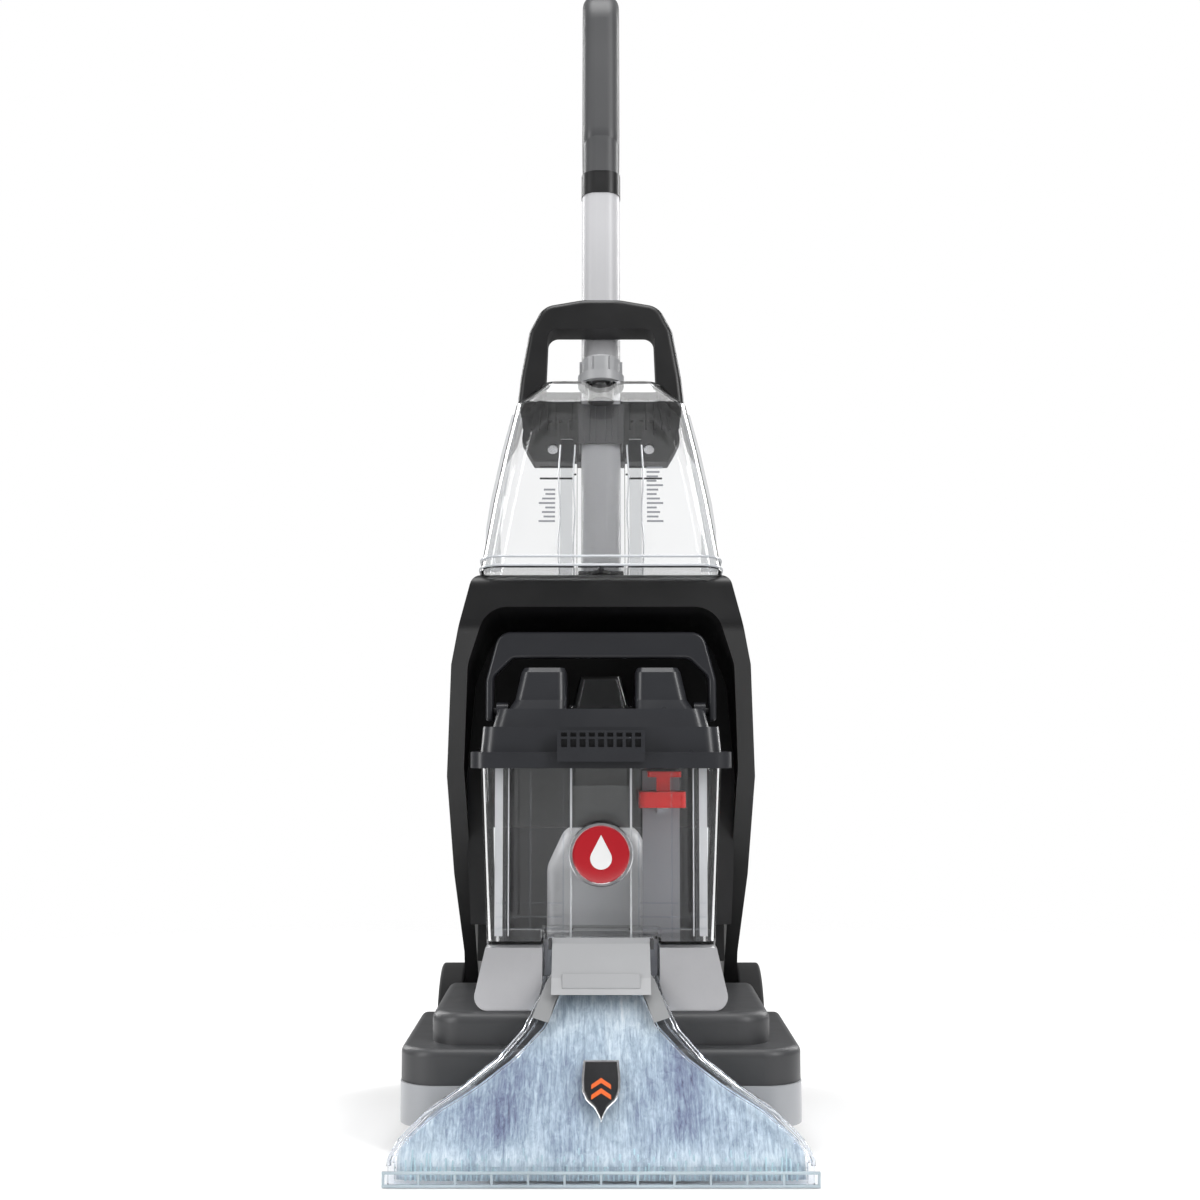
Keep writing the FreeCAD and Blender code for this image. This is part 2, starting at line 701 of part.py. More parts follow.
def make_bracket(side):
    """The bracket whose pin a pedal rocks on."""
    bracket = new_body("pedal_bracket")

    def span(x0, x1):
        return sorted((side * x0, side * x1))

    add(bracket, "YZ", [[(116, 104), (130, 104), (130, 106), (116, 106)]], *span(58, 104))
    lug = [(116, 105), (130, 105), (128, 117, 3), (118, 117, 3)]
    add(bracket, "YZ", [lug], *span(58, 61.6))
    add(bracket, "YZ", [lug], *span(100.4, 104))
    add(bracket, "YZ", [circle(123, 112, 2.5)], *span(60, 102))
    return bracket


def make_pedal(side, name):
    pedal = new_body(name)

    def span(x0, x1):
        return sorted((side * x0, side * x1))

    plate = [(116, 109.5), (170, 111, 2), (171, 117, 2), (126, 120, 4), (116, 117, 3)]
    add(pedal, "YZ", [plate], *span(62, 100))
    cut(pedal, "YZ", [circle(123, 112, 2.55)], *span(61, 101))
    for y in (140, 148, 156):
        cut(pedal, "YZ", [rectangle(y, y + 2.5, 117, 122)], *span(66, 96))
    on_base(pedal)


# ----------------------------------------------------------------------------------------- motors and pump

def make_motors():
    dome = new_body("motor_housing")
    wall = D.wall
    outside = [(0, 104), (52, 104), (52, 224, 22), (34, 262, 20), (0, 268)]
    turn(dome, "XZ", outside)
    inside = [(0, 103), (52 - wall, 103), (52 - wall, 222, 20), (32, 258, 18), (0, 264)]
    hollow = new_body("motor_housing_inside")
    turn(hollow, "XZ", inside)
    dome.Label = "motor_housing_outside"
    on_base(combine("Part::Cut", "motor_housing", dome, hollow), at=(0, 52, 0))
    motor = new_body("vacuum_motor")
    add(motor, "XY", [circle(0, 0, 34)], 104, 176)
    add(motor, "XY", [circle(0, 0, 44)], 176, 182)
    cut(motor, "XY", [circle(0, 0, 4.05)], 160, 183)
    on_base(motor, at=(0, 52, 0))
    fan = new_body("fan_impeller")
    add(fan, "XY", [circle(0, 0, 40)], 184, 187)
    blade = add(fan, "XY", [rectangle(12, 39, -1, 1)], 187, 198)
    spread(fan, blade, "N_Axis", 8)
    add(fan, "XY", [circle(0, 0, 4)], 162, 200)
    on_base(fan, at=(0, 52, 0))
    shroud = new_body("motor_shroud")
    add(shroud, "XY", [[(-100, 30), (-100, 112, 30), (100, 112, 30), (100, 30), (96, 30), (96, 108, 26),
                        (-96, 108, 26), (-96, 30)]], 104, 264)
    on_base(shroud)
    pump = new_body("solution_pump")
    add(pump, "XY", [rectangle(-100, -40, 6, 40, 4)], 15, 48)
    add(pump, "YZ", [circle(23, 32, 5)], -40, -26)
    on_base(pump)


def make_gland():
    """The inlet of the mains lead, in the back of the chassis."""
    body = new_body("cord_gland")
    add(body, "XZ", [circle(-90, 40, 9)], 150, 153)
    add(body, "XZ", [circle(-90, 40, 7)], 153, 168)
    cut(body, "XZ", [circle(-90, 40, 4)], 149, 169)
    on_base(body)


# ---------------------------------------------------------------------------------------- dirty water tank

def make_dirty_tank():
    body = new_body("dirty_tank_shell")
    wall, front, back = D.clear_wall, D.tank_front, D.tank_back
    floor, rim = D.cradle_top + D.gap, D.tank_rim
    top, bottom = D.tank_half_top, D.tank_half_bottom
    loft(body, "XY", [(floor, rectangle(-bottom, bottom, front, back, 8)),
                      (rim, rectangle(-top, top, front, back, 8))])
    loft(body, "XY", [(floor + wall, rectangle(wall - bottom, bottom - wall, front + wall, back - wall, 6)),
                      (rim + 1, rectangle(wall - top, top - wall, front + wall, back - wall, 6))],
         subtract=True)
    step = D.notch_top + wall
    add(body, "XY", [rectangle(-52.6, 52.6, front + 0.8, -62)], floor, step)
    cut(body, "XY", [rectangle(-50, 50, front - 1, -64.6)], floor - 1, D.notch_top)
    cut(body, "XY", [rectangle(-24, 24, front + wall, -88)], D.notch_top - 1, step + 1)
    for side in (-1, 1):
        for x in (33, 62):
            low, high = sorted((side * x, side * (x + 1.6)))
            add(body, "YZ", [[(front + 2, floor + 14), (front + 2, rim - 4), (front - 1.4, rim - 4),
                              (front - 1.4, floor + 14)]], low, high)
    on_base(body)
    duct = new_body("tank_duct")
    mouth = front + wall + 0.1
    u_shape = [(-27, mouth), (-27, -84), (27, -84), (27, mouth), (24.6, mouth), (24.6, -86.4), (-24.6, -86.4),
               (-24.6, mouth)]
    add(duct, "XY", [u_shape], step, 306)
    on_base(duct)


def make_float():
    guide = new_body("float_guide")
    floor = D.cradle_top + D.gap + D.clear_wall
    add(guide, "XY", [rectangle(38, 72, -38, -35)], floor, 318)
    add(guide, "XY", [rectangle(50, 60, -80, -36)], 281, 285.5)
    on_base(guide)
    body = new_body("float")
    add(body, "XY", [rectangle(34, 76, -80, -42, 6)], 286, 300)
    add(body, "XY", [rectangle(50, 62, -68, -54)], 300, 317)
    add(body, "XY", [rectangle(42, 72, -74, -48, 4)], 313, 318)
    on_base(body)


def make_lid():
    """The dark lid, with the two humps that its handle folds between."""
    body = new_body("dirty_tank_lid")
    half = D.lid_half
    rim = D.tank_rim
    add(body, "XY", [rectangle(-half, half, -120, 2, 16)], rim, 336)
    ledge = 358
    loft(body, "XY", [(336, rectangle(-106, 106, -114, -2, 14)), (ledge, rectangle(-104, 104, -111, -4, 14))])
    loft(body, "XY", [(ledge, rectangle(-96, 96, -101, -6, 12)),
                      (D.lid_top + 12, rectangle(-92, 92, -96, -8, 12))])
    for side in (-1, 1):
        root = side_of(rectangle(30.5, 90, -94, -12, 8), side)
        waist = side_of(rectangle(30.5, 77, -84, -26, 8), side)
        peak = side_of(rectangle(31, 71.5, -79, -31, 8), side)
        crown = side_of(rectangle(33, 69, -76, -34, 6), side)
        loft(body, "XY", [(D.lid_top, root), (382, waist)])
        loft(body, "XY", [(382, waist), (407, peak), (411, crown)])
    cut(body, "XY", [rectangle(-102, 102, -100, -12, 6)], rim - 1, 333)
    cut(body, "XY", [rectangle(-84, 84, -90, -14, 6)], 330, 360)
    for side in (-1, 1):
        cut(body, "XY", [side_of(rectangle(38, 66, -72, -38, 4), side)], 355, 400)
    cut(body, "XY", [rectangle(-26, 26, -86, -26, 4)], 355, D.lid_top + 13)
    handle_seat(body)
    on_base(body)
    window = new_body("lid_window")
    add(window, "XY", [rectangle(-29, 29, -89, -23, 6)], D.lid_top + 12, D.lid_top + 15)
    loft(window, "XY", [(D.lid_top + 15, rectangle(-25.5, 25.5, -85, -27, 5)),
                        (403, rectangle(-19, 19, -76, -34, 5))])
    loft(window, "XY", [(D.lid_top + 11, rectangle(-23, 23, -82, -30, 4)),
                        (400.5, rectangle(-17, 17, -73, -37, 4))], subtract=True)
    on_base(window)
    latch = new_body("lid_latch")
    add(latch, "XY", [rectangle(-38, 38, -129, -120)], 328, 355)
    for i in range(-4, 5):
        cut(latch, "XZ", [rectangle(i * 8 - 2.6, i * 8 + 2.6, 340.5, 347.5)], -130, -124)
        cut(latch, "XZ", [rectangle(i * 8 - 2.6, i * 8 + 2.6, 349.5, 353)], -130, -124)
    on_base(latch)


HANDLE_AXIS = (-55, 372)  # Y and Z of the pins that the tank handle folds on


def handle_seat(body):
    """Bosses on the lid's ends, with the pins of the carrying handle."""
    y, z = HANDLE_AXIS
    for side in (-1, 1):
        low, high = sorted((side * 84, side * 94.5))
        boss = [(y - 13, z - 14), (y + 13, z - 14), (y + 13, z + 8, 7), (y - 13, z + 8, 7)]
        add(body, "YZ", [boss], low, high)
        low, high = sorted((side * 94, side * 104.5))
        add(body, "YZ", [circle(y, z, 4)], low, high)


def make_tank_handle():
    body = new_body("dirty_tank_handle")
    y, z = HANDLE_AXIS
    arch = mirrored([(104.5, z - 9, 3), (104.5, 400, 14), (93, 444, 14)])
    opening = mirrored([(97.5, z - 12), (97.5, 403, 10), (80, 420, 8)])
    add(body, "XZ", [arch], y - 9, y + 9)
    cut(body, "XZ", [opening], y - 10, y + 10)
    cut(body, "YZ", [circle(y, z, 4.05)], -110, 110)
    fillet(body, 3, lambda m, d, e: abs(d.y) < 0.01 and abs(abs(m.y - y) - 9) < 0.1 and m.z > 380)
    on_base(body)


def make_tank_badge():
    body = new_body("tank_badge")
    turn(body, "YZ", [(-1.5, 0), (-6, 0), (-6, 24), (-4, 28), (-1.5, 28)], "H")
    on_base(body, at=(0, D.tank_front, 247))


# -------------------------------------------------------------------------------------------- handle frame

def make_frame():
    """The dark arch over the dirty tank. Its legs run down to the wheel axle."""
    side_view = new_body("frame_side_view")
    front, back, top = D.frame_front, D.frame_back, D.frame_top
    outline = [(-27, 6), (-20, -18, 12), (0, -27, 16), (20, -18, 12), (27, 6), (back, 360), (back, top, 8),
               (front, top, 14), (front, 350, 20)]
    add(side_view, "YZ", [outline], -150, 150)
    front_view = new_body("frame_front_view")
    low_outer, low_inner, head = D.leg_outer, D.leg_inner, D.opening_top
    outer = [(low_outer, -30), (low_outer, 70), (139, 140), (143, 225), (136, 318), (116, top, 14)]
    inner = [(127, 232), (121, 318, 30), (102, head - 4, 26)]
    legs = [(low_inner, -31), (low_inner, 50), (124, 140)]
    add(front_view, "XZ", [mirrored(outer)], front - 5, 60)
    cut(front_view, "XZ", [mirrored(legs + inner)], front - 6, 61)
    panel = new_body("frame_back_panel")
    low_edge, tab_inner, tab_foot = 182, 104.5, 92
    knee = legs[2]
    tab_outer = low_inner + (knee[0] - low_inner) * (tab_foot - 50) / (knee[1] - 50)
    tab = [(tab_inner, low_edge), (tab_inner, tab_foot), (tab_outer, tab_foot), knee]
    add(panel, "XZ", [mirrored(tab + inner)], -131, -127)
    on_frame(panel)
    arch = combine("Part::Common", "frame_arch", side_view, front_view)
    bore = cylinder("frame_bore", D.axle_radius + 0.05, 300, (-150, 0, 0), (1, 0, 0))
    bored = combine("Part::Cut", "frame_bored", arch, bore)
    seat = cylinder("frame_seat", 16, 13, (0, VALVE_Y, top - 12))
    on_frame(combine("Part::Cut", "body_frame", bored, seat))


VALVE_Y = -222  # the clean tank's valve, in front of the handle tube


def make_spine():
    """The dark back plate behind the clean tank, with the blocks that hold the handle tube."""
    body = new_body("frame_back_cover")
    top = D.frame_top
    face = -149.4
    plate = mirrored([(17, top), (17, 538.5), (66, 538.5, 2), (80, 563, 3), (80, 616, 6)])
    add(body, "XZ", [plate], face, -130)
    for low, high in ((420, 444), (556, 584)):
        add(body, "XZ", [rectangle(-18, 18, low, high)], -156.8, face)
    for i in (-5, -4, -3, 3, 4, 5):
        cut(body, "XZ", [rectangle(i * 10 - 2, i * 10 + 2, 566, 582)], -151, -143)
    screw_x, screw_z = 47.5, 552
    screws = [circle(x, screw_z, 5.5) for x in (-screw_x, screw_x)]
    cut(body, "XZ", screws, -151, -144)
    cut(body, "XZ", [rectangle(-48, -16, 603, 609, 1.5), rectangle(16, 48, 603, 609, 1.5)], -151, -129)
    on_frame(body)
    heads = []
    for x in (-screw_x, screw_x):
        heads.append(cylinder("cover_screw_head", 5, 2.5, (x, -144, screw_z), (0, -1, 0)))
    on_frame(group("cover_screws", heads))


def make_receiver():
    body = new_body("valve_receiver")
    top = D.frame_top
    add(body, "XY", [circle(0, 0, 15.9)], top - 12, top - 0.5)
    cut(body, "XY", [circle(0, 0, 12.5)], top - 9, top)
    add(body, "XY", [circle(0, 0, 2)], top - 10, top - 4.5)
    on_frame(body, at=(0, VALVE_Y, 0))


def make_tube():
    body = new_body("handle_tube")
    centre, half, deep = D.tube_centre, D.tube_half, D.tube_depth / 2
    wall = 2
    outer = rectangle(-half, half, centre - deep, centre + deep, 14)
    inner = rectangle(wall - half, half - wall, centre - deep + wall, centre + deep - wall, 12)
    add(body, "XY", [outer, inner], D.frame_top, D.tube_top)
    on_frame(body)
    collar = new_body("tube_collar")
    rim = 0.6
    add(collar, "XY", [rectangle(-(half + rim), half + rim, centre - deep - rim, centre + deep + rim, 14)],
        D.tube_top, D.tube_top + 24)
    on_frame(collar)


GRIP_INSIDE = ((-84.4, 897.4), (-67.9, 957.2))  # the straight inner face that the trigger stands in
GRIP_THICK = 28


def grip_point(along, depth):
    """A point beside the grip's inner face: along it, and depth into the opening."""
    (y0, z0), (y1, z1) = GRIP_INSIDE
    length = math.hypot(y1 - y0, z1 - z0)
    u, v = (y1 - y0) / length, (z1 - z0) / length
    return (y0 + u * along - v * depth, z0 + v * along + u * depth)


def make_grip():
    """The closed loop that the hand holds: an oval section swept round it, on a short stem."""
    body = new_body("hand_grip")
    low, middle = D.tube_top + 24, GRIP_THICK / 2
    front, crown, foot = D.tube_centre - 3, D.grip_top - middle, low + 24
    loop = [(front, crown, 34), (front, foot, 24), (-132, foot, 26), (-73, 886, 26), (-52, 962, 30),
            (-92, crown, 34)]
    path = new_sketch(body, "YZ", 0, [loop])
    oval = rectangle(-D.tube_half, D.tube_half, front - middle, front + middle, 13)
    section = new_sketch(body, "XY", crown - 34, [oval])
    sweep = body.newObject("PartDesign::AdditivePipe", "Loop")
    sweep.Profile = section
    sweep.Spine = (path, [f"Edge{n}" for n in range(1, 13)])
    doc.recompute()
    add(body, "XY", [rectangle(-18, 18, -188, -157, 13)], low, foot + 22)
    slot = [grip_point(6, 3), grip_point(56, 3), grip_point(56, -14), grip_point(6, -22)]
    cut(body, "YZ", [slot], -7.5, 7.5)
    add(body, "YZ", [circle(*grip_point(50, -6), 2)], -8, 8)
    on_frame(body)
    trigger = new_body("trigger")
    lever = [grip_point(8, 9) + (3,), grip_point(40, 8) + (4,), grip_point(54, -3) + (3,),
             grip_point(54, -10) + (3,),
             grip_point(42, -10), grip_point(8, -8)]
    add(trigger, "YZ", [lever], -7, 7)
    cut(trigger, "YZ", [circle(*grip_point(50, -6), 2.05)], -8, 8)
    on_frame(trigger)


def make_cord_hooks():
    hook = new_body("cord_hook_upper")
    back = D.tube_centre + D.tube_depth / 2
    add(hook, "XZ", [circle(0, 0, 12)], back + 0.3, back + 8)
    add(hook, "XZ", [circle(0, 0, 8)], back + 8, back + 34)
    add(hook, "XZ", [rectangle(-7, 7, -8, 42, 6)], back + 29, back + 34)
    on_frame(hook, at=(0, 0, 724))
    lower = new_body("cord_hook_lower")
    add(lower, "XZ", [circle(0, 470, 8)], -130, -101)
    add(lower, "XZ", [rectangle(-7, 7, 428, 478, 6)], -106, -101)
    on_frame(lower)


# ---------------------------------------------------------------------------------------- clean water tank

CLEAN_SECTIONS = [(0, 0, 0), (70, 11, 4), (118, 20, 8), (166, 30, 13), (190, 52, 24)]
CAP_Y = -213


def clean_rectangle(inset, narrower, front_back, radius):
    """The clean tank's section: narrower by so much on each side, and with its front so much further back."""
    half = D.clean_half - narrower - inset
    return rectangle(-half, half, D.clean_front + front_back + inset, D.clean_back - inset, radius)


def make_clean_tank():
    body = new_body("clean_tank_shell")
    wall, floor = D.clear_wall, D.clean_bottom
    loft(body, "XY", [(floor + h, clean_rectangle(0, n, b, 16)) for h, n, b in CLEAN_SECTIONS])
    inside = []
    for h, n, b in CLEAN_SECTIONS:
        height = floor + max(wall.value, min(h, 190 - wall.value))
        inside.append((height, clean_rectangle(wall, n, b, 13)))
    loft(body, "XY", inside, subtract=True)
    slot = D.slot_half
    add(body, "XY", [rectangle(-(slot + wall), slot + wall, -193 - wall, D.clean_back)], floor, floor + 190)
    cut(body, "XY", [rectangle(-slot, slot, -193, D.clean_back + 1)], floor - 1, floor + 192)
    add(body, "XY", [circle(0, CAP_Y, 15.5)], floor + 188, floor + 203)
    cut(body, "XY", [circle(0, CAP_Y, 13)], floor + 186, floor + 204)
    cut(body, "XY", [circle(0, VALVE_Y, 3.06)], floor - 1, floor + wall + 0.1)
    on_frame(body)
    stem = new_body("clean_tank_valve")
    add(stem, "XY", [circle(0, 0, 3)], floor - 6, floor + 9)
    add(stem, "XY", [circle(0, 0, 9)], floor + wall + 0.1, floor + wall + 3)
    on_frame(stem, at=(0, VALVE_Y, 0))


def make_cap():
    body = new_body("clean_tank_cap")
    low = D.clean_bottom + 191
    add(body, "XY", [circle(0, 0, 22)], low, low + 9)
    add(body, "XY", [circle(0, 0, 18.5)], low + 9, low + 26)
    cut(body, "XY", [circle(0, 0, 15.6)], low - 1, low + 12.3)
    fillet(body, 2.5, lambda m, d, e: near(m.z, low + 26))
    rib = add(body, "XY", [rectangle(17.5, 20.5, -2, 2)], low + 9, low + 24)
    spread(body, rib, "N_Axis", 6)
    on_frame(body, at=(0, CAP_Y, 0))


def make_carry_handle():
    body = new_body("clean_tank_handle")
    floor = D.clean_bottom
    top = floor + 281
    foot = floor + 190.3
    arch = [(53, foot), (58.3, foot), (80.3, floor + 166), (77, floor + 200), (69, top - 33, 18),
            (56, top - 7, 20), (18, top, 50)]
    add(body, "XZ", [mirrored(arch)], -216, -190)
    cut(body, "XZ", [mirrored([(53, foot - 1), (51, top - 32, 10)])], -217, -189)
    shoulder, bar = floor.value + 210, floor.value + 262

    def outside(m):
        return m.z > bar or (m.z > shoulder and abs(m.x) > 60)

    fillet(body, 6, lambda m, d, e: abs(d.y) < 0.01 and outside(m))
    on_frame(body)


PIECES = [
    make_chassis, make_rear_deck, make_base_cover, make_cradle, make_brush_housing, make_spray_bar,
    make_drive, make_nozzle, make_tool_port, make_axle, make_motors, make_gland, make_dirty_tank, make_float,
    make_lid, make_tank_handle, make_tank_badge, make_frame, make_spine, make_receiver, make_tube, make_grip,
    make_cord_hooks, make_clean_tank, make_cap, make_carry_handle,
]


# ---------------------------------------------------------------------------------------------- everything

def check_and_export():
    doc.recompute()
    for obj in doc.Objects:
        if {"Invalid", "Error"} & set(obj.State):
            raise RuntimeError(f"{obj.Label} is in state {obj.State}")
    os.makedirs("parts", exist_ok=True)
    for obj in NODES:
        if obj.Shape.isNull() or not obj.Shape.isValid():
            raise RuntimeError(f"{obj.Label} has no valid shape")
        obj.Shape.exportStep(f"parts/{obj.Label}.step")


for make in PIECES:
    make()
for number in range(6):
    make_brush(number)
for turn_side, side_name in ((1, "right"), (-1, "left")):
    make_skirt(turn_side, f"side_skirt_{side_name}")
    make_wheel(turn_side, side_name)
make_pedal(-1, "recline_pedal")
make_pedal(1, "power_pedal")
on_base(group("pedal_brackets", [make_bracket(-1), make_bracket(1)]))
check_and_export()
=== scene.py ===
import math

import bmesh
import bpy
from mathutils import Matrix, Vector


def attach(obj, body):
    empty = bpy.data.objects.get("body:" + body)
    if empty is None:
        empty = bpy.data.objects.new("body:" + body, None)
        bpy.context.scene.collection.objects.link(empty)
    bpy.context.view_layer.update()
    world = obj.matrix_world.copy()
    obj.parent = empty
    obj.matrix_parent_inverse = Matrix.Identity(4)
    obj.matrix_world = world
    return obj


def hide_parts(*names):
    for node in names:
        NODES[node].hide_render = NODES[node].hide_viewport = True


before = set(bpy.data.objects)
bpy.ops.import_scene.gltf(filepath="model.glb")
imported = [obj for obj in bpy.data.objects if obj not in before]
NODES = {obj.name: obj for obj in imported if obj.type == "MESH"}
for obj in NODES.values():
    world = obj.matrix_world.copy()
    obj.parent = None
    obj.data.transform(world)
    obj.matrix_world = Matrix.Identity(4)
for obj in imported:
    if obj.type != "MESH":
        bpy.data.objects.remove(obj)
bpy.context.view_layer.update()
S = 0.0055  # how far the base's pieces, in metres, are set back from the middle of the base
PIVOT = Vector((0, 0.104 + S, 0.062))  # the wheel axle, which the handle frame leans about
LEAN = math.radians(10)
SENSOR, LENS = 36, 49.2  # the camera's sensor width and focal length in mm
CAMERA_AT, CAMERA_TILT = (-0.0009, -1.551 + S, 0.356), 4.5


# ---------------------------------------------------------------------------------------- camera and light

def make_camera():
    """Low in front of the machine, tilted up a little, as in the picture."""
    data = bpy.data.cameras.new("camera")
    data.sensor_width = SENSOR
    data.lens = LENS
    data.clip_end = 50
    camera = bpy.data.objects.new("camera", data)
    camera.location = CAMERA_AT
    camera.rotation_euler = (math.radians(90 + CAMERA_TILT), 0, 0)
    bpy.context.collection.objects.link(camera)
    bpy.context.scene.camera = camera


def area_light(name, place, target, width, height, power):
    data = bpy.data.lights.new(name, "AREA")
    data.shape = "RECTANGLE"
    data.size, data.size_y = width, height
    data.energy = power
    light = bpy.data.objects.new(name, data)
    light.location = place
    light.rotation_euler = (Vector(target) - Vector(place)).to_track_quat("-Z", "Y").to_euler()
    bpy.context.collection.objects.link(light)


def make_studio():
    """Soft boxes all round; the background that shows behind and through the object stays white."""
    world = bpy.data.worlds.new("studio")
    bpy.context.scene.world = world
    bpy.context.scene.view_settings.view_transform = "Standard"
    world.use_nodes = True
    tree = world.node_tree
    seen, lit = tree.nodes["Background"], tree.nodes.new("ShaderNodeBackground")
    seen.inputs["Strength"].default_value = 1.0
    seen.inputs["Color"].default_value = (1, 1, 1, 1)
    lit.inputs["Strength"].default_value = 0.24
    lit.inputs["Color"].default_value = (1, 1, 1, 1)
    kinds = ("ShaderNodeLightPath", "ShaderNodeMath", "ShaderNodeMixShader")
    path, either, mix = (tree.nodes.new(kind) for kind in kinds)
    either.operation = "MAXIMUM"
    tree.links.new(path.outputs["Is Camera Ray"], either.inputs[0])
    tree.links.new(path.outputs["Is Transmission Ray"], either.inputs[1])
    tree.links.new(either.outputs[0], mix.inputs[0])
    tree.links.new(lit.outputs[0], mix.inputs[1])
    tree.links.new(seen.outputs[0], mix.inputs[2])
    tree.links.new(mix.outputs[0], tree.nodes["World Output"].inputs["Surface"])
    area_light("key", (1.5, -1.6, 1.6), (0, 0, 0.5), 0.6, 1.7, 34)
    area_light("fill", (-1.7, -1.2, 1.0), (0, 0, 0.45), 0.5, 1.8, 22)
    area_light("top", (0, -0.2, 2.6), (0, 0, 0.3), 1.6, 1.2, 32)
    area_light("rim_right", (1.3, 1.1, 1.2), (0, 0, 0.6), 0.4, 1.6, 20)
    area_light("rim_left", (-1.3, 1.1, 1.2), (0, 0, 0.6), 0.4, 1.6, 20)


def make_floor():
    """A pale floor that fades into the white background before it ends."""
    mesh = bpy.data.meshes.new("floor")
    half = 8.0
    corners = [(-half, -half, 0), (half, -half, 0), (half, half, 0), (-half, half, 0)]
    mesh.from_pydata(corners, [], [(0, 1, 2, 3)])
    floor = bpy.data.objects.new("floor", mesh)
    floor.location.z = -0.0006  # just under the wheels and the nozzle's lip
    bpy.context.collection.objects.link(floor)
    s = Shader("floor_paint")
    s.set(Base_Color=(0.93, 0.93, 0.93), Roughness=0.7)
    source = s.add("ShaderNodeTexCoord")
    length = s.add("ShaderNodeVectorMath", operation="LENGTH")
    s.link(source.outputs["Object"], length.inputs[0])
    reach = s.math("MULTIPLY", length.outputs["Value"], 1 / half)
    s.link(s.ramp(reach, [(0.08, 1.0), (0.2, 0.0)]), s.bsdf.inputs["Alpha"])
    mesh.materials.append(s.material)


# ----------------------------------------------------------------------------------------------- materials

class Shader:
    """A small helper that builds a material's nodes."""

    def __init__(self, name):
        self.material = bpy.data.materials.new(name)
        self.material.use_nodes = True
        self.tree = self.material.node_tree
        self.nodes = self.tree.nodes
        self.bsdf = self.nodes["Principled BSDF"]

    def add(self, kind, **settings):
        node = self.nodes.new(kind)
        for key, value in settings.items():
            setattr(node, key, value)
        return node

    def link(self, source, target):
        self.tree.links.new(source, target)

    def coordinates(self, scale=(1, 1, 1)):
        """Object coordinates, stretched by scale."""
        source = self.add("ShaderNodeTexCoord")
        mapping = self.add("ShaderNodeMapping")
        mapping.inputs["Scale"].default_value = scale
        self.link(source.outputs["Object"], mapping.inputs["Vector"])
        return mapping.outputs["Vector"]

    def noise(self, scale, detail=3.0, stretch=(1, 1, 1), rough=0.5, distort=0.0):
        node = self.add("ShaderNodeTexNoise")
        node.inputs["Scale"].default_value = scale
        node.inputs["Detail"].default_value = detail
        node.inputs["Roughness"].default_value = rough
        node.inputs["Distortion"].default_value = distort
        self.link(self.coordinates(stretch), node.inputs["Vector"])
        return node.outputs["Fac"]

    def ramp(self, value, stops):
        node = self.add("ShaderNodeValToRGB")
        ramp = node.color_ramp
        while len(ramp.elements) < len(stops):
            ramp.elements.new(0.5)
        for element, (place, colour) in zip(ramp.elements, stops):
            element.position = place
            if isinstance(colour, (int, float)):
                colour = (colour, colour, colour)
            element.color = (*colour, 1)
        self.link(value, node.inputs["Fac"])
        return node.outputs["Color"]

    def math(self, operation, a, b):
        node = self.add("ShaderNodeMath", operation=operation)
        for socket, value in zip(node.inputs, (a, b)):
            if isinstance(value, (int, float)):
                socket.default_value = value
            else:
                self.link(value, socket)
        return node.outputs[0]

    def bump(self, value, strength, distance=0.0005):
        node = self.add("ShaderNodeBump")
        node.inputs["Strength"].default_value = strength
        node.inputs["Distance"].default_value = distance
        self.link(value, node.inputs["Height"])
        self.link(node.outputs["Normal"], self.bsdf.inputs["Normal"])

    def set(self, **values):
        for key, value in values.items():
            socket = self.bsdf.inputs[key.replace("_", " ")]
            socket.default_value = (*value, 1) if isinstance(value, tuple) else value


def shade(colour, factor):
    """A colour made darker or lighter, kept within range."""
    return tuple(min(1.0, c * factor) for c in colour)


def plastic(name, colour, rough, grain=0.25, grain_size=0.0009, variation=0.06, coat=0.0):
    """Moulded plastic: faint tone variation, spark-eroded grain, and roughness that wanders a little."""
    s = Shader(name)
    s.set(Roughness=rough, Base_Color=colour)
    s.bsdf.inputs["Coat Weight"].default_value = coat
    s.bsdf.inputs["Coat Roughness"].default_value = 0.15
    tone = s.noise(9.0, 4.0)
    s.link(s.ramp(tone, [(0.3, shade(colour, 1 - variation)), (0.7, shade(colour, 1 + variation))]),
           s.bsdf.inputs["Base Color"])
    wander = s.noise(26.0, 3.0)
    s.link(s.ramp(wander, [(0.25, max(0.02, rough - 0.05)), (0.75, rough + 0.06)]),
           s.bsdf.inputs["Roughness"])
    if grain:
        s.bump(s.noise(1 / grain_size, 2.0), grain, 0.00012)
    return s.material


def clear(name, tint, rough=0.03, ior=1.36):
    """Clear moulded plastic with the slight waviness of a moulded wall."""
    s = Shader(name)
    s.set(Base_Color=tint, Roughness=rough, IOR=ior)
    s.bsdf.inputs["Transmission Weight"].default_value = 1.0
    s.link(s.ramp(s.noise(5.0, 3.0), [(0.3, shade(tint, 0.97)), (0.7, shade(tint, 1.02))]),
           s.bsdf.inputs["Base Color"])
    s.bump(s.noise(14.0, 2.0, (1, 1, 0.3)), 0.06, 0.002)
    return s.material


def metal(name, colour, rough):
    """Metallic paint or bare metal, its polish broken up by a fine grain."""
    s = Shader(name)
    s.set(Metallic=1.0, Base_Color=colour)
    grain = s.noise(300.0)
    s.link(s.ramp(grain, [(0.3, max(0.05, rough - 0.07)), (0.7, rough + 0.07)]), s.bsdf.inputs["Roughness"])
    s.link(s.ramp(s.noise(12.0), [(0.3, shade(colour, 0.92)), (0.7, shade(colour, 1.06))]),
           s.bsdf.inputs["Base Color"])
    return s.material


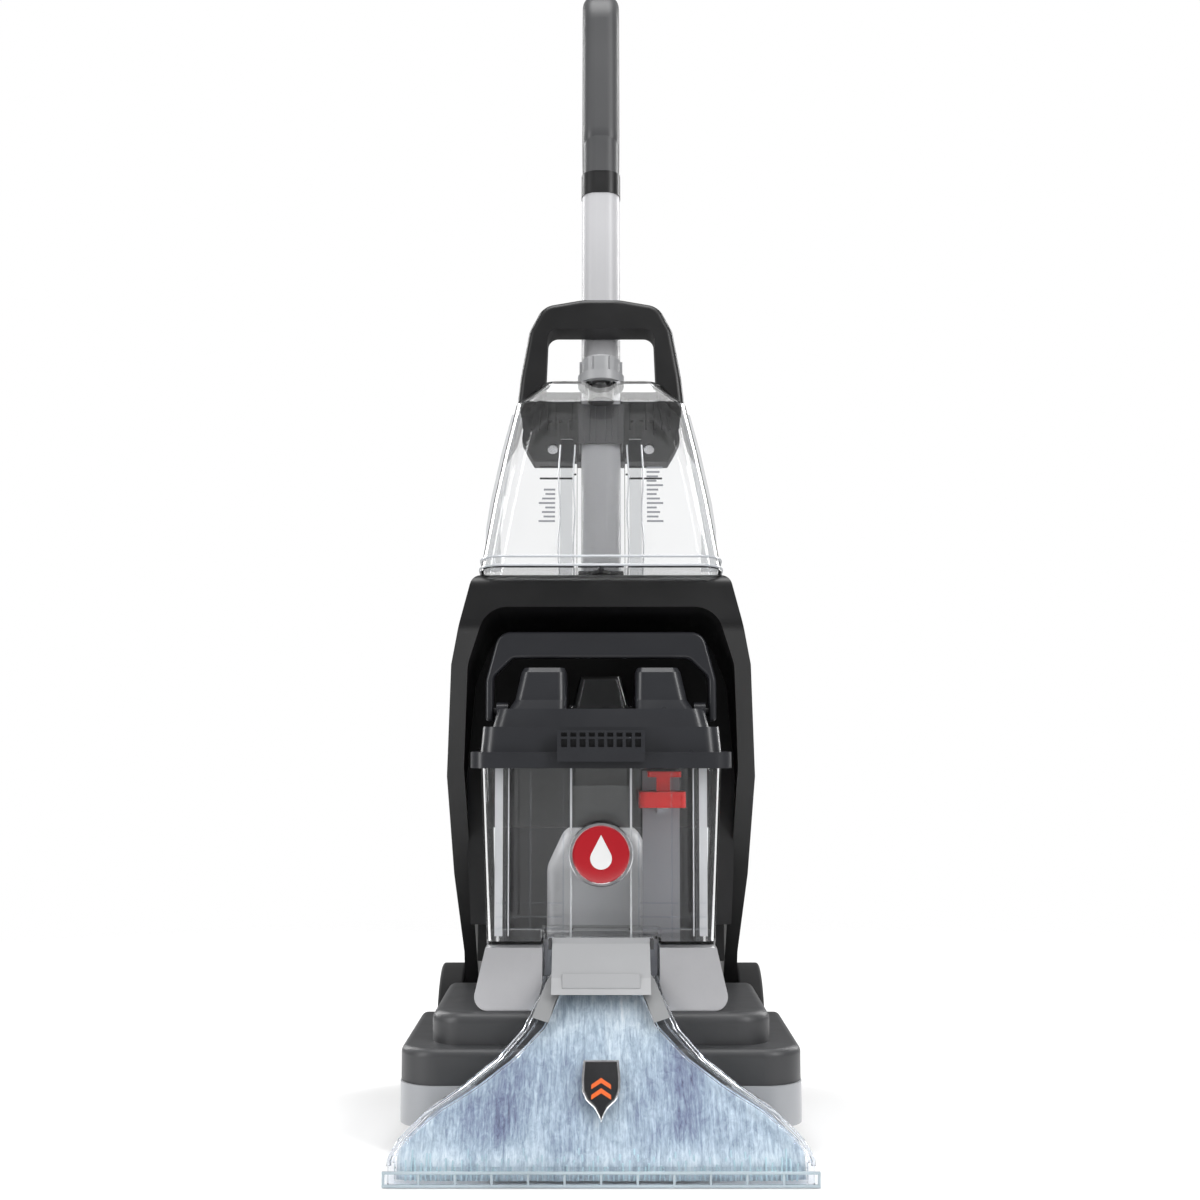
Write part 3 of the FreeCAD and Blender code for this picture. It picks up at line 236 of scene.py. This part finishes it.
def smooth_band(s, value, middle, half_width, soft):
    """1 where value is within half_width of middle, falling to 0 over soft."""
    away = s.math("ABSOLUTE", s.math("SUBTRACT", value, middle), 0.0)
    node = s.add("ShaderNodeMapRange", interpolation_type="SMOOTHSTEP")
    s.link(away, node.inputs["Value"])
    node.inputs["From Min"].default_value = half_width
    node.inputs["From Max"].default_value = half_width + soft
    node.inputs["To Min"].default_value = 1.0
    node.inputs["To Max"].default_value = 0.0
    return node.outputs["Result"]


def icy_water():
    """Water rushing up the nozzle's wall: fine pale streaks, froth at the top, blue and violet painted
    shadows in darker columns.
    """
    s = Shader("nozzle_water")
    split = s.add("ShaderNodeSeparateXYZ")
    s.link(s.coordinates(), split.inputs[0])
    across, up = split.outputs["X"], split.outputs["Z"]
    streaks = s.noise(420.0, 6.0, (1.0, 0.1, 0.1), 0.7, 0.4)
    froth = s.noise(170.0, 8.0, (1.0, 0.5, 0.5), 0.72, 1.2)
    broad = s.noise(20.0, 4.0, (1.0, 0.5, 0.45), 0.55, 0.6)
    tone = s.math("ADD", s.math("MULTIPLY", streaks, 0.50), s.math("MULTIPLY", froth, 0.38))
    tone = s.math("ADD", tone, s.math("MULTIPLY", broad, 0.30))
    top = smooth_band(s, up, 0.16, 0.035, 0.05)
    foot = smooth_band(s, up, 0.0, 0.016, 0.014)
    tone = s.math("ADD", tone, s.math("MULTIPLY", top, 0.06))
    tone = s.math("ADD", tone, s.math("MULTIPLY", foot, 0.05))
    # painted shadow: the stream is darkened in four upright columns about mid height, where shade falls on it
    for x, width, depth in ((-0.074, 0.006, 0.09), (0.072, 0.007, 0.08), (-0.093, 0.010, 0.06),
                            (0.05, 0.02, 0.04)):
        column = smooth_band(s, across, x, width, 0.013)
        shadow = s.math("MULTIPLY", column, smooth_band(s, up, 0.062, 0.022, 0.022))
        tone = s.math("SUBTRACT", tone, s.math("MULTIPLY", shadow, depth))
    colour = s.ramp(tone, [(0.34, (0.050, 0.055, 0.105)), (0.44, (0.15, 0.18, 0.29)),
                           (0.52, (0.28, 0.35, 0.45)), (0.60, (0.44, 0.54, 0.62)),
                           (0.69, (0.70, 0.79, 0.84)), (0.80, (0.95, 0.98, 1.0))])
    s.link(colour, s.bsdf.inputs["Base Color"])
    s.set(Roughness=0.35)
    s.bump(tone, 0.5, 0.003)
    return s.material


def make_materials():
    """Every look, by the short name that the pieces ask for."""
    m = {}
    m["dark"] = plastic("charcoal_plastic", (0.013, 0.013, 0.014), 0.42, 0.3)
    m["frame"] = plastic("frame_plastic", (0.007, 0.007, 0.0075), 0.36, 0.25)
    m["cover"] = plastic("cover_plastic", (0.046, 0.047, 0.050), 0.42, 0.3)
    m["black"] = plastic("black_plastic", (0.005, 0.005, 0.0055), 0.38, 0.3)
    m["lid"] = plastic("lid_plastic", (0.022, 0.023, 0.027), 0.32, 0.15)
    m["light"] = plastic("light_grey_plastic", (0.33, 0.335, 0.345), 0.36, 0.12)
    m["tube"] = plastic("tube_paint", (0.50, 0.50, 0.515), 0.35, 0.05)
    m["skirt"] = plastic("skirt_plastic", (0.38, 0.39, 0.41), 0.33, 0.08)
    m["silver"] = metal("silver_paint", (0.60, 0.60, 0.62), 0.36)
    m["motor"] = plastic("motor_dome", (0.80, 0.80, 0.82), 0.38, 0.1)
    m["shroud"] = plastic("shroud_plastic", (0.05, 0.05, 0.053), 0.5, 0.3)
    m["clear"] = clear("clear_tank", (0.97, 0.975, 0.98))
    m["clean"] = clear("clear_clean_tank", (0.97, 0.973, 0.976), 0.02)
    m["nozzle"] = clear("clear_nozzle", (0.93, 0.95, 0.98), 0.03)
    m["duct"] = clear("clear_duct", (0.95, 0.955, 0.96), 0.06)
    m["window"] = clear("clear_window", (0.55, 0.56, 0.58), 0.03)
    m["water"] = icy_water()
    m["red"] = plastic("red_plastic", (0.80, 0.008, 0.006), 0.3, 0.05)
    m["badge"] = plastic("badge_enamel", (0.42, 0.006, 0.014), 0.16, 0.0, coat=0.6)
    m["plaque"] = plastic("plaque_enamel", (0.012, 0.012, 0.014), 0.2, 0.0, coat=0.5)
    m["grip"] = plastic("grip_plastic", (0.060, 0.061, 0.064), 0.42, 0.5, 0.0012)
    m["rubber"] = plastic("tyre_rubber", (0.010, 0.010, 0.011), 0.7, 0.6, 0.0015)
    m["hub"] = plastic("hub_plastic", (0.05, 0.05, 0.053), 0.35, 0.2)
    m["steel"] = metal("steel", (0.62, 0.62, 0.63), 0.3)
    m["nylon"] = plastic("nylon", (0.62, 0.58, 0.48), 0.45, 0.1)
    m["bristle"] = plastic("bristle_nylon", (0.03, 0.06, 0.30), 0.4, 0.0)
    m["disc"] = plastic("brush_disc", (0.25, 0.25, 0.27), 0.4, 0.2)
    m["guide"] = plastic("guide_grey", (0.30, 0.30, 0.32), 0.35, 0.1)
    m["orange"] = plastic("orange_enamel", (0.75, 0.13, 0.02), 0.3, 0.0)
    m["ink"] = plastic("printed_grey", (0.25, 0.26, 0.28), 0.5, 0.0)
    m["jets"] = plastic("water_jets", (0.62, 0.80, 0.88), 0.2, 0.0, variation=0.2, coat=0.3)
    m["bracket"] = plastic("bracket_plastic", (0.24, 0.245, 0.25), 0.36, 0.1)
    m["chrome"] = metal("bright_metal", (0.80, 0.80, 0.82), 0.16)
    m["white"] = plastic("white_enamel", (0.80, 0.80, 0.80), 0.3, 0.0)
    m["lip"] = plastic("lip_plastic", (0.42, 0.50, 0.55), 0.12, 0.0, variation=0.15, coat=0.5)
    m["flange"] = clear("clear_flange", (0.90, 0.92, 0.95), 0.04, 1.25)
    m["rim"] = plastic("moulded_rim", (0.55, 0.57, 0.60), 0.10, 0.0, coat=0.5)
    # painted highlight: opaque light grey standing in for the bright lines that clear walls show
    m["glint"] = plastic("painted_highlight_plastic", (0.60, 0.61, 0.63), 0.15, 0.0, coat=0.4)
    # painted shade: a grey tint on clear sheets standing in for the darker look of thick clear walls
    m["shaded_wall"] = clear("painted_wall_shade", (0.70, 0.71, 0.72), 0.05, 1.12)
    # painted shade: dark grey standing in for the handle tube where it lies in shadow
    m["tube_shadow_look"] = plastic("painted_tube_shadow", (0.05, 0.05, 0.053), 0.32, 0.2)
    return m


CAD_LOOKS = {
    "dark": ["frame_back_cover", "frame_back_panel"],
    "frame": ["body_frame"],
    "cover": ["base_cover"],
    "black": ["base_chassis", "rear_deck", "brush_housing", "spray_bar", "pedal_brackets", "cord_gland",
              "valve_receiver", "clean_tank_handle", "cord_hook_lower", "cord_hook_upper", "tube_collar",
              "solution_pump", "clean_tank_valve"],
    "lid": ["dirty_tank_lid", "lid_latch", "dirty_tank_handle"],
    "light": ["tool_port_door", "clean_tank_cap"],
    "tube": ["handle_tube"],
    "skirt": ["side_skirt_left", "side_skirt_right"],
    "silver": ["tank_cradle"],
    "motor": ["motor_housing"],
    "shroud": ["motor_shroud", "tool_port"],
    "clear": ["dirty_tank_shell"],
    "clean": ["clean_tank_shell"],
    "duct": ["tank_duct"],
    "window": ["lid_window"],
    "nozzle": ["nozzle_cover", "nozzle_lip"],
    "water": ["nozzle_back"],
    "red": ["float"],
    "badge": ["tank_badge"],
    "plaque": ["nozzle_badge"],
    "grip": ["hand_grip"],
    "rubber": ["wheel_tyre_left", "wheel_tyre_right"],
    "hub": ["wheel_hub_left", "wheel_hub_right", "trigger", "recline_pedal", "power_pedal"],
    "steel": ["rear_axle", "cover_screws", "vacuum_motor", "brush_motor", "fan_impeller"],
    "nylon": ["drive_gear"],
    "guide": ["float_guide"],
    "disc": [f"spin_brush_{i}" for i in range(1, 7)],
}
SMALL_BEVEL = 0.0006
BEVELS = {"body_frame": 0.006, "base_cover": 0.002, "dirty_tank_lid": 0.0025, "clean_tank_handle": 0.004,
          "tank_cradle": 0.003, "clean_tank_shell": 0.0022, "dirty_tank_shell": 0.0012,
          "tool_port_door": 0.0015, "frame_back_cover": 0.002, "dirty_tank_handle": 0.002,
          "side_skirt_left": 0.0012, "side_skirt_right": 0.0012, "clean_tank_cap": 0.001,
          "trigger": 0.0015, "lid_window": 0.0015}
BRISTLE_TOP = 0.0335  # below this height a brush is bristles, above it the disc they stand in


def finish_cad(looks):
    """Materials for every CAD node, and soft edges on the ones that show."""
    for look, names in CAD_LOOKS.items():
        for name in names:
            node = NODES[name]
            node.data.materials.clear()
            node.data.materials.append(looks[look])
            soften(node, BEVELS.get(name, SMALL_BEVEL))
    for i in range(1, 7):
        mesh = NODES[f"spin_brush_{i}"].data
        mesh.materials.append(looks["bristle"])
        for polygon in mesh.polygons:
            polygon.material_index = int(polygon.center.z < BRISTLE_TOP)


def soften(node, width):
    """Rounds a CAD piece's edges, after its flat faces have been made whole again."""
    dissolve = node.modifiers.new("flat", "DECIMATE")
    dissolve.decimate_type = "DISSOLVE"
    dissolve.angle_limit = math.radians(1.5)
    bevel = node.modifiers.new("bevel", "BEVEL")
    bevel.width = width
    bevel.segments = 3
    bevel.limit_method = "ANGLE"
    bevel.angle_limit = math.radians(28)
    bevel.use_clamp_overlap = True
    bevel.harden_normals = False
    smooth = node.modifiers.new("normals", "WEIGHTED_NORMAL")
    smooth.keep_sharp = True
    smooth.weight = 60
    for polygon in node.data.polygons:
        polygon.use_smooth = True


# ----------------------------------------------------------------------------------------- building pieces

FRAME_AT = Matrix.Translation(PIVOT) @ Matrix.Rotation(-LEAN, 4, "X")  # the handle frame's own axes
BASE_AT = Matrix.Translation((0, S, 0))


def mm(*values):
    """Millimetres to metres."""
    return tuple(v / 1000 for v in values)


def piece(name, bm, look, body, at=BASE_AT, bevel=0.0, replaces=(), smooth=True, sharp=30):
    """Makes one object of a bmesh, in place, with its material, riding on its body."""
    bmesh.ops.recalc_face_normals(bm, faces=bm.faces)
    mesh = bpy.data.meshes.new(name)
    bm.to_mesh(mesh)
    bm.free()
    mesh.transform(at)
    mesh.materials.append(looks[look])
    for polygon in mesh.polygons:
        polygon.use_smooth = smooth
    mesh.set_sharp_from_angle(angle=math.radians(sharp))
    thing = bpy.data.objects.new(name, mesh)
    bpy.context.collection.objects.link(thing)
    if bevel:
        modifier = thing.modifiers.new("bevel", "BEVEL")
        modifier.width = bevel
        modifier.segments = 2
        modifier.limit_method = "ANGLE"
        modifier.angle_limit = math.radians(30)
        normals = thing.modifiers.new("normals", "WEIGHTED_NORMAL")
        normals.keep_sharp = True
    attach(thing, body)
    if replaces:
        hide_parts(*replaces)
    return thing


def prism(bm, outline, plane, low, high):
    """Adds an outline (mm, in the plane XY, XZ or YZ) stretched from low to high along the third axis."""
    order = {"XY": lambda u, v, w: (u, v, w), "XZ": lambda u, v, w: (u, w, v),
             "YZ": lambda u, v, w: (w, u, v)}[plane]
    near = [bm.verts.new(mm(*order(u, v, low))) for u, v in outline]
    far = [bm.verts.new(mm(*order(u, v, high))) for u, v in outline]
    bm.faces.new(near)
    bm.faces.new(reversed(far))
    for i in range(len(outline)):
        j = (i + 1) % len(outline)
        bm.faces.new((near[i], near[j], far[j], far[i]))


def brick(bm, x0, x1, y0, y1, z0, z1):
    """Adds a box (mm)."""
    prism(bm, [(x0, y0), (x1, y0), (x1, y1), (x0, y1)], "XY", z0, z1)


def arc_outline(radius, steps, centre, start, sweep):
    """Points along an arc, with its angles in degrees."""
    angles = [math.radians(start + sweep * i / steps) for i in range(steps + 1)]
    return [(centre[0] + radius * math.cos(a), centre[1] + radius * math.sin(a)) for a in angles]


def lathe(bm, profile, place, axis="Y", steps=64, closed=False):
    """Turns a profile of (radius, along) in mm about an axis through place."""
    rings = []
    for radius, along in profile:
        ring = []
        for i in range(steps):
            a = 2 * math.pi * i / steps
            u, v = radius * math.cos(a), radius * math.sin(a)
            x, y, z = {"X": (along, u, v), "Y": (u, along, v), "Z": (u, v, along)}[axis]
            ring.append(bm.verts.new(mm(place[0] + x, place[1] + y, place[2] + z)))
        rings.append(ring)
    pairs = list(zip(rings, rings[1:])) + ([(rings[-1], rings[0])] if closed else [])
    for one, two in pairs:
        for i in range(steps):
            j = (i + 1) % steps
            bm.faces.new((one[i], one[j], two[j], two[i]))
    if not closed:
        bm.faces.new(rings[0])
        bm.faces.new(reversed(rings[-1]))


def tube(bm, points, radius, sides=8, squash=1.0):
    """A round bar of the given radius (mm) that follows the points (mm)."""
    path = [Vector(p) for p in points]
    count = len(path)
    rings = []
    for i, point in enumerate(path):
        before = path[i - 1] if i else point
        after = path[i + 1] if i < count - 1 else point
        along = (after - before).normalized()
        side = along.cross(Vector((0, 0, 1)) if abs(along.z) < 0.9 else Vector((0, 1, 0))).normalized()
        up = side.cross(along).normalized()
        ring = []
        for k in range(sides):
            a = 2 * math.pi * k / sides
            offset = side * math.cos(a) * radius + up * math.sin(a) * radius * squash
            ring.append(bm.verts.new((point + offset) / 1000))
        rings.append(ring)
    for one, two in zip(rings, rings[1:]):
        for k in range(sides):
            n = (k + 1) % sides
            bm.faces.new((one[k], one[n], two[n], two[k]))
    bm.faces.new(rings[0])
    bm.faces.new(reversed(rings[-1]))


def between(table, value):
    """Straight-line lookup in a list of (value, result)."""
    for (a, fa), (b, fb) in zip(table, table[1:]):
        if value <= b:
            return fa + (fb - fa) * max(0.0, (value - a) / (b - a))
    return table[-1][1]


# -------------------------------------------------------------------------------------------------- nozzle

HOOD_FRONT = [(0, -240), (14, -240), (142, -135), (176, -106)]  # height, y of the hood's outer face
HOOD_SHARE = [(0, 1), (20, 1), (32, 0.945), (50, 0.78), (66, 0.56), (86, 0.325), (107, 0.155), (131, 0.045),
              (150, 0.01), (176, 0.0)]
HOOD_NECK, HOOD_MOUTH = 46, 167


def hood_half(z):
    """Half the width of the hood at a height."""
    return HOOD_NECK + (HOOD_MOUTH - HOOD_NECK) * between(HOOD_SHARE, z)


def hood_y(z):
    """y of the hood's outer face at a height."""
    return between(HOOD_FRONT, z)


def water_half(z):
    """The water fills the mouth, and draws in to a narrower stream towards the neck."""
    return hood_half(z) - between([(0, 5), (25, 6), (60, 15), (110, 19), (150, 15)], z)


def make_water():
    """The moulded wall behind the stream, a little wavy, with the stream on it."""
    bm = bmesh.new()
    rows, columns = 44, 64
    foot, head = 1.5, 150
    grid = []
    for r in range(rows + 1):
        z = foot + (head - foot) * r / rows
        line = []
        for c in range(columns + 1):
            share = 2 * c / columns - 1
            x = share * water_half(z)
            ripple = 0.7 * math.sin(x * 0.42 + math.sin(z * 0.09) * 1.5) + 0.35 * math.sin(x * 1.1 + z * 0.05)
            roll = 5.0 * abs(share) ** 6
            line.append(bm.verts.new(mm(x, hood_y(z) + 11.5 + ripple + roll, z)))
        grid.append(line)
    for low, high in zip(grid, grid[1:]):
        for c in range(columns):
            bm.faces.new((low[c], low[c + 1], high[c + 1], high[c]))
    wall = piece("nozzle_stream", bm, "water", "base", replaces=("nozzle_back",))
    thick = wall.modifiers.new("wall", "SOLIDIFY")
    thick.thickness = 0.0025
    thick.offset = -1


def make_hood_edges():
    """The rounded flanges that run down both sides of the hood, and the inner weld line."""
    bm = bmesh.new()
    heights = [16 + 130 * i / 40 for i in range(41)]
    for side in (-1, 1):
        tube(bm, [(side * (hood_half(z) - 1), hood_y(z) - 0.6, z) for z in heights], 1.9, squash=0.8)
    piece("nozzle_flanges", bm, "flange", "base")
    bm = bmesh.new()
    for side in (-1, 1):
        tube(bm, [(side * (water_half(z) + 1.5), hood_y(z) + 6.5, z) for z in heights], 1.1)
        tube(bm, [(side * (hood_half(z) - 8), hood_y(z) + 3.2, z) for z in heights[4:]], 0.7)
    piece("nozzle_weld_lines", bm, "flange", "base")


def make_lip():
    """The lip that rides on the carpet: a rail of windows between cross bars."""
    bm = bmesh.new()
    half, count = 171, 12
    brick(bm, -half, half, -243, -240.2, 0, 2.2)
    brick(bm, -half, half, -243, -240.2, 10, 12)
    step = 2 * half / count
    for i in range(count + 1):
        x = -half + i * step
        low, high = (x, x + 2) if i == 0 else (x - 2, x) if i == count else (x - 1, x + 1)
        brick(bm, low, high, -242.6, -240.2, 2.2, 10)
    piece("nozzle_lip_rail", bm, "lip", "base", bevel=0.0004, replaces=("nozzle_lip",))
    bm = bmesh.new()
    brick(bm, -half + 1, half - 1, -241.4, -240.4, 2, 10.2)
    piece("nozzle_lip_windows", bm, "flange", "base")
    bm = bmesh.new()
    for i in range(78):
        x = -154 + i * 4
        lean = 1.2 * math.sin(i * 2.3)
        tall = 17 + 5 * math.sin(i * 1.7) + 3 * math.sin(i * 0.6)
        tube(bm, [(x, -229.5, 2), (x + lean, hood_y(tall) + 9.8, tall)], 0.75, 6)
    piece("nozzle_jets", bm, "jets", "base")


def make_shield():
    """A small blank shield on the hood: bright edge, dark field, two plain chevrons."""
    height = 65
    (low_z, low_y), (high_z, high_y) = HOOD_FRONT[1:3]
    slope = math.atan2(high_y - low_y, high_z - low_z)
    centre = Vector((0, hood_y(height) + S * 1000, height)) / 1000
    at = Matrix.Translation(centre) @ Matrix.Rotation(-slope, 4, "X")

    def outline(grow):
        half = [(13.5, 24), (14.6, 8), (14.2, -2), (11.0, -10), (5.0, -16), (1.6, -23), (0, -28)]
        right = [(x * (14.6 + grow) / 14.6, z * (26 + grow) / 26) for x, z in half]
        return right + [(-x, z) for x, z in reversed(right[:-1])]

    for name, look, grow, low, high in (("shield_rim", "chrome", 1.2, -3.0, -0.4),
                                        ("shield_field", "plaque", -0.6, -3.3, -0.6)):
        bm = bmesh.new()
        prism(bm, outline(grow), "XZ", low, high)
        replaced = ("nozzle_badge",) if name == "shield_rim" else ()
        piece(name, bm, look, "base", at=at, bevel=0.0004, replaces=replaced)
    bm = bmesh.new()
    for z in (1, -8):
        chevron = [(-8, z + 2), (0, z + 8), (8, z + 2), (8, z - 2), (0, z + 3.5), (-8, z - 2)]
        prism(bm, chevron, "XZ", -3.6, -1.0)
    piece("shield_chevrons", bm, "orange", "base", at=at, bevel=0.0002)


def make_neck():
    """Brackets either side of the door, and the door's stepped lip."""
    wing = [(41, 150), (47, 141), (58, 116), (44, 112), (38, 128), (33, 136), (36, 150)]
    bm = bmesh.new()
    for side in (-1, 1):
        rows = []
        for lift in (0.4, 3.2):
            rows.append([bm.verts.new(mm(side * x, hood_y(z) - lift, z)) for x, z in wing])
        near, far = rows
        bm.faces.new(near)
        bm.faces.new(reversed(far))
        for i in range(len(wing)):
            j = (i + 1) % len(wing)
            bm.faces.new((near[i], near[j], far[j], far[i]))
    piece("neck_brackets", bm, "bracket", "base", bevel=0.0006)
    bm = bmesh.new()
    lip = [(-150.0, 134.2), (-151.6, 139.0), (-142.6, 150.0), (-141.0, 149.0)]
    prism(bm, lip, "YZ", -33, 33)
    piece("door_lip", bm, "light", "port_door", bevel=0.0006)


# ---------------------------------------------------------------------------------------- tanks and badges

def make_round_badge():
    """Round badge on the dirty tank: bright ring, red domed field, a plain white drop."""
    place = (0, -105.5, 247)
    bm = bmesh.new()
    lathe(bm, [(28, 0), (28, -4.0), (27.3, -4.9), (25.4, -4.9), (24.8, -4.2), (24.8, 0)], place, closed=True)
    piece("badge_ring", bm, "chrome", "dirty_tank", replaces=("tank_badge",))
    bm = bmesh.new()
    swell = [math.radians(90 * i / 8) for i in range(1, 8)]
    dome = [(24.8, -0.5), (24.8, -3.4)]
    dome += [(24.8 * math.cos(a), -3.4 - 1.2 * math.sin(a)) for a in swell] + [(0.2, -4.6)]
    lathe(bm, dome, place)
    piece("badge_field", bm, "badge", "dirty_tank", sharp=60)
    bm = bmesh.new()
    round_part = arc_outline(9.5, 20, (0, 243.5), 154, 232)
    prism(bm, round_part + [(0, 264)], "XZ", -110.35, -109.4)
    piece("badge_drop", bm, "white", "dirty_tank", bevel=0.0002)


def make_tank_rims():
    """The double rim round the foot of the clean tank."""
    bm = bmesh.new()
    for z, out in ((404.5, 0.6), (413.0, -0.2)):
        half, front, back, corner = 110 + out, -252 - out, -150, 20
        arc = [(half - corner + corner * math.cos(a), front + corner - corner * math.sin(a)) for a in
               [math.radians(90 * i / 8) for i in range(9)]]
        right = [(half, back)] + arc
        path = right + [(-x, y) for x, y in reversed(right)]
        tube(bm, [(x, y, z) for x, y in path], 1.25)
    piece("clean_tank_rims", bm, "rim", "clean_tank", at=FRAME_AT)


def clean_front(z):
    """y of the clean tank's front face at a height in the frame's axes."""
    return -252 + between([(402, 0), (472, 4), (520, 8), (568, 13), (592, 24)], z)


def make_tank_marks():
    """Plain level marks on the clean tank: no figures, no letters."""
    bm = bmesh.new()
    for side in (-1, 1):
        for i in range(13 if side > 0 else 8):
            z = 446 + i * 4.4
            wide = 15 if i % 4 == 0 else 9 + 3 * ((i * 7) % 3) / 2
            y = clean_front(z) - 0.15
            low, high = sorted((side * 42, side * (42 + wide)))
            brick(bm, low, high, y - 0.25, y + 0.6, z, z + 1.6)
    piece("clean_tank_marks", bm, "ink", "clean_tank", at=FRAME_AT, smooth=False)


def clean_half(z):
    """Half the width of the clean tank at a height in the frame's axes."""
    return between([(402, 110), (445, 109.5), (472, 106), (520, 97), (568, 86), (592, 66)], z)


def make_clean_tank_bands():
    """The clean tank's thick side walls, as smoky bands of painted shade that narrow upwards, and its middle
    channel, with painted highlights on its wavy walls and painted shade between them.
    """
    # painted shade: grey clear bands just inside the thick side walls, narrowing upwards
    bm = bmesh.new()
    heights = [406 + 156 * i / 26 for i in range(27)]
    for side in (-1, 1):
        rows = []
        for z in heights:
            outer = clean_half(z) - 3.2
            inner = outer - between([(406, 15), (480, 12), (562, 8)], z)
            y = clean_front(z) + 22
            rows.append([bm.verts.new(mm(side * x, y + depth, z)) for x, depth in
                         ((outer, 0), (outer, 1.2), (inner, 1.2), (inner, 0))])
        for low, high in zip(rows, rows[1:]):
            for k in range(4):
                n = (k + 1) % 4
                bm.faces.new((low[k], low[n], high[n], high[k]))
        bm.faces.new(rows[0])
        bm.faces.new(rows[-1])
    piece("clean_tank_bands", bm, "shaded_wall", "clean_tank", at=FRAME_AT)
    # the channel's wavy clear walls, drawn as light grey bars of painted highlight
    bm = bmesh.new()
    for side in (-1, 1):
        for x in (39.5, 25.5):
            path = [(side * (x + 0.8 * math.sin(z * 0.09)), -199.5, z) for z in range(405, 545, 7)]
            tube(bm, path, 0.8, 6)
    piece("clean_tank_flute_highlights", bm, "glint", "clean_tank", at=FRAME_AT)
    # painted shade: grey clear plates between the channel's wavy walls
    bm = bmesh.new()
    for side in (-1, 1):
        low, high = sorted((side * 27, side * 38.5))
        brick(bm, low, high, -199.4, -198.6, 405, 544)
    piece("clean_tank_channel", bm, "shaded_wall", "clean_tank", at=FRAME_AT, smooth=False)


def make_cover_trim():
    """Ribs on the frame's back cover, the tube's foot, a dark ribbed cover of painted shade over the tube
    where it lies in shadow under the bridge, and the plug under the cap.
    """
    bm = bmesh.new()
    for side in (-1, 1):
        for x in (28, 44, 52, 60, 68):
            low, high = sorted((side * x, side * (x + 1.6)))
            brick(bm, low, high, -152.0, -149.2, 572, 600)
        for z in (520, 532):
            low, high = sorted((side * 24, side * 60))
            brick(bm, low, high, -151.4, -149.2, z, z + 1.6)
    piece("cover_ribs", bm, "black", "handle_frame", at=FRAME_AT, bevel=0.0003)
    # painted shade: a dark ribbed cover over the tube where it lies in shadow below the bridge
    bm = bmesh.new()
    brick(bm, -21.5, 21.5, -190.5, -187.4, 543, 583)
    for side in (-1, 1):
        low, high = sorted((side * 19.3, side * 21.5))
        brick(bm, low, high, -187.5, -158, 543, 583)
        for x in (4, 10, 16):
            one, two = sorted((side * x, side * (x + 1.4)))
            brick(bm, one, two, -191.2, -190.3, 545, 581)
    piece("tube_shadow_cover", bm, "tube_shadow_look", "handle_frame", at=FRAME_AT, bevel=0.0004)
    bm = bmesh.new()
    brick(bm, -21.5, 21.5, -191, -156, 401, 418)
    piece("tube_foot", bm, "black", "handle_frame", at=FRAME_AT, bevel=0.0015)
    bm = bmesh.new()
    lathe(bm, [(12.4, 577), (12.4, 590), (0.5, 590), (0.5, 577)], (0, -213, 0), axis="Z", steps=32)
    piece("cap_plug", bm, "black", "tank_cap", at=FRAME_AT, sharp=40)


def make_leg_liners():
    """Dark webs behind the arch's legs, low down, where the legs turn back towards the axle."""
    bm = bmesh.new()
    for side in (-1, 1):
        low, high = sorted((side * 104.8, side * 117))
        brick(bm, low, high, -96, -93, 60, 97)
    piece("leg_liners", bm, "frame", "handle_frame", at=FRAME_AT, bevel=0.0005)


def make_tank_details():
    """Moulded ribs and ledges inside the dirty tank, and light grey bars of painted highlight on its walls.
    """
    bm = bmesh.new()
    for side in (-1, 1):
        for x, low, high in ((33, 172, 318), (62, 172, 318), (84, 172, 250)):
            brick(bm, side * x - 0.7, side * x + 0.7, -103.0, -100.0, low, high)
        for z in (182, 192, 204):
            low, high = sorted((side * 34, side * 92))
            brick(bm, low, high, -102.6, -101.2, z, z + 1.2)
    piece("dirty_tank_ribs", bm, "flange", "dirty_tank", smooth=False)
    # painted highlights: opaque light grey bars where the tank's corners and the duct's walls catch the light
    bm = bmesh.new()
    for side in (-1, 1):
        for inner, outer, low, high in ((25.4, 27.2, 171, 326), (86.0, 93.0, 176, 326),
                                        (80.4, 81.6, 176, 326)):
            one, two = sorted((side * inner, side * outer))
            brick(bm, one, two, -102.4, -101.6, low, high)
    piece("dirty_tank_glints", bm, "glint", "dirty_tank", smooth=False)


# ------------------------------------------------------------------------------------------------- brushes

def make_bristles():
    """Splayed nylon tufts round each brush."""
    for i, x in enumerate((-115, -69, -23, 23, 69, 115), start=1):
        bm = bmesh.new()
        for ring, radius in enumerate((12.0, 17.0)):
            count = 9 + 5 * ring
            for k in range(count):
                a = 2 * math.pi * (k + 0.5 * ring) / count
                for n in range(6):
                    spread = 2 * math.pi * n / 6
                    root = (x + radius * math.cos(a) + 1.3 * math.cos(spread),
                            -118 + radius * math.sin(a) + 1.3 * math.sin(spread), 33)
                    tip = (x + (radius + 1.2) * math.cos(a) + 2.1 * math.cos(spread),
                           -118 + (radius + 1.2) * math.sin(a) + 2.1 * math.sin(spread), 2.5)
                    tube(bm, [root, tip], 0.42, 4)
        piece(f"bristles_{i}", bm, "bristle", f"brush_{i}")


# ---------------------------------------------------------------------------------------------- everything

looks = make_materials()
make_camera()
make_studio()
make_floor()
finish_cad(looks)
make_water()
make_hood_edges()
make_lip()
make_shield()
make_neck()
make_round_badge()
make_tank_rims()
make_tank_marks()
make_clean_tank_bands()
make_cover_trim()
make_leg_liners()
make_tank_details()
make_bristles()
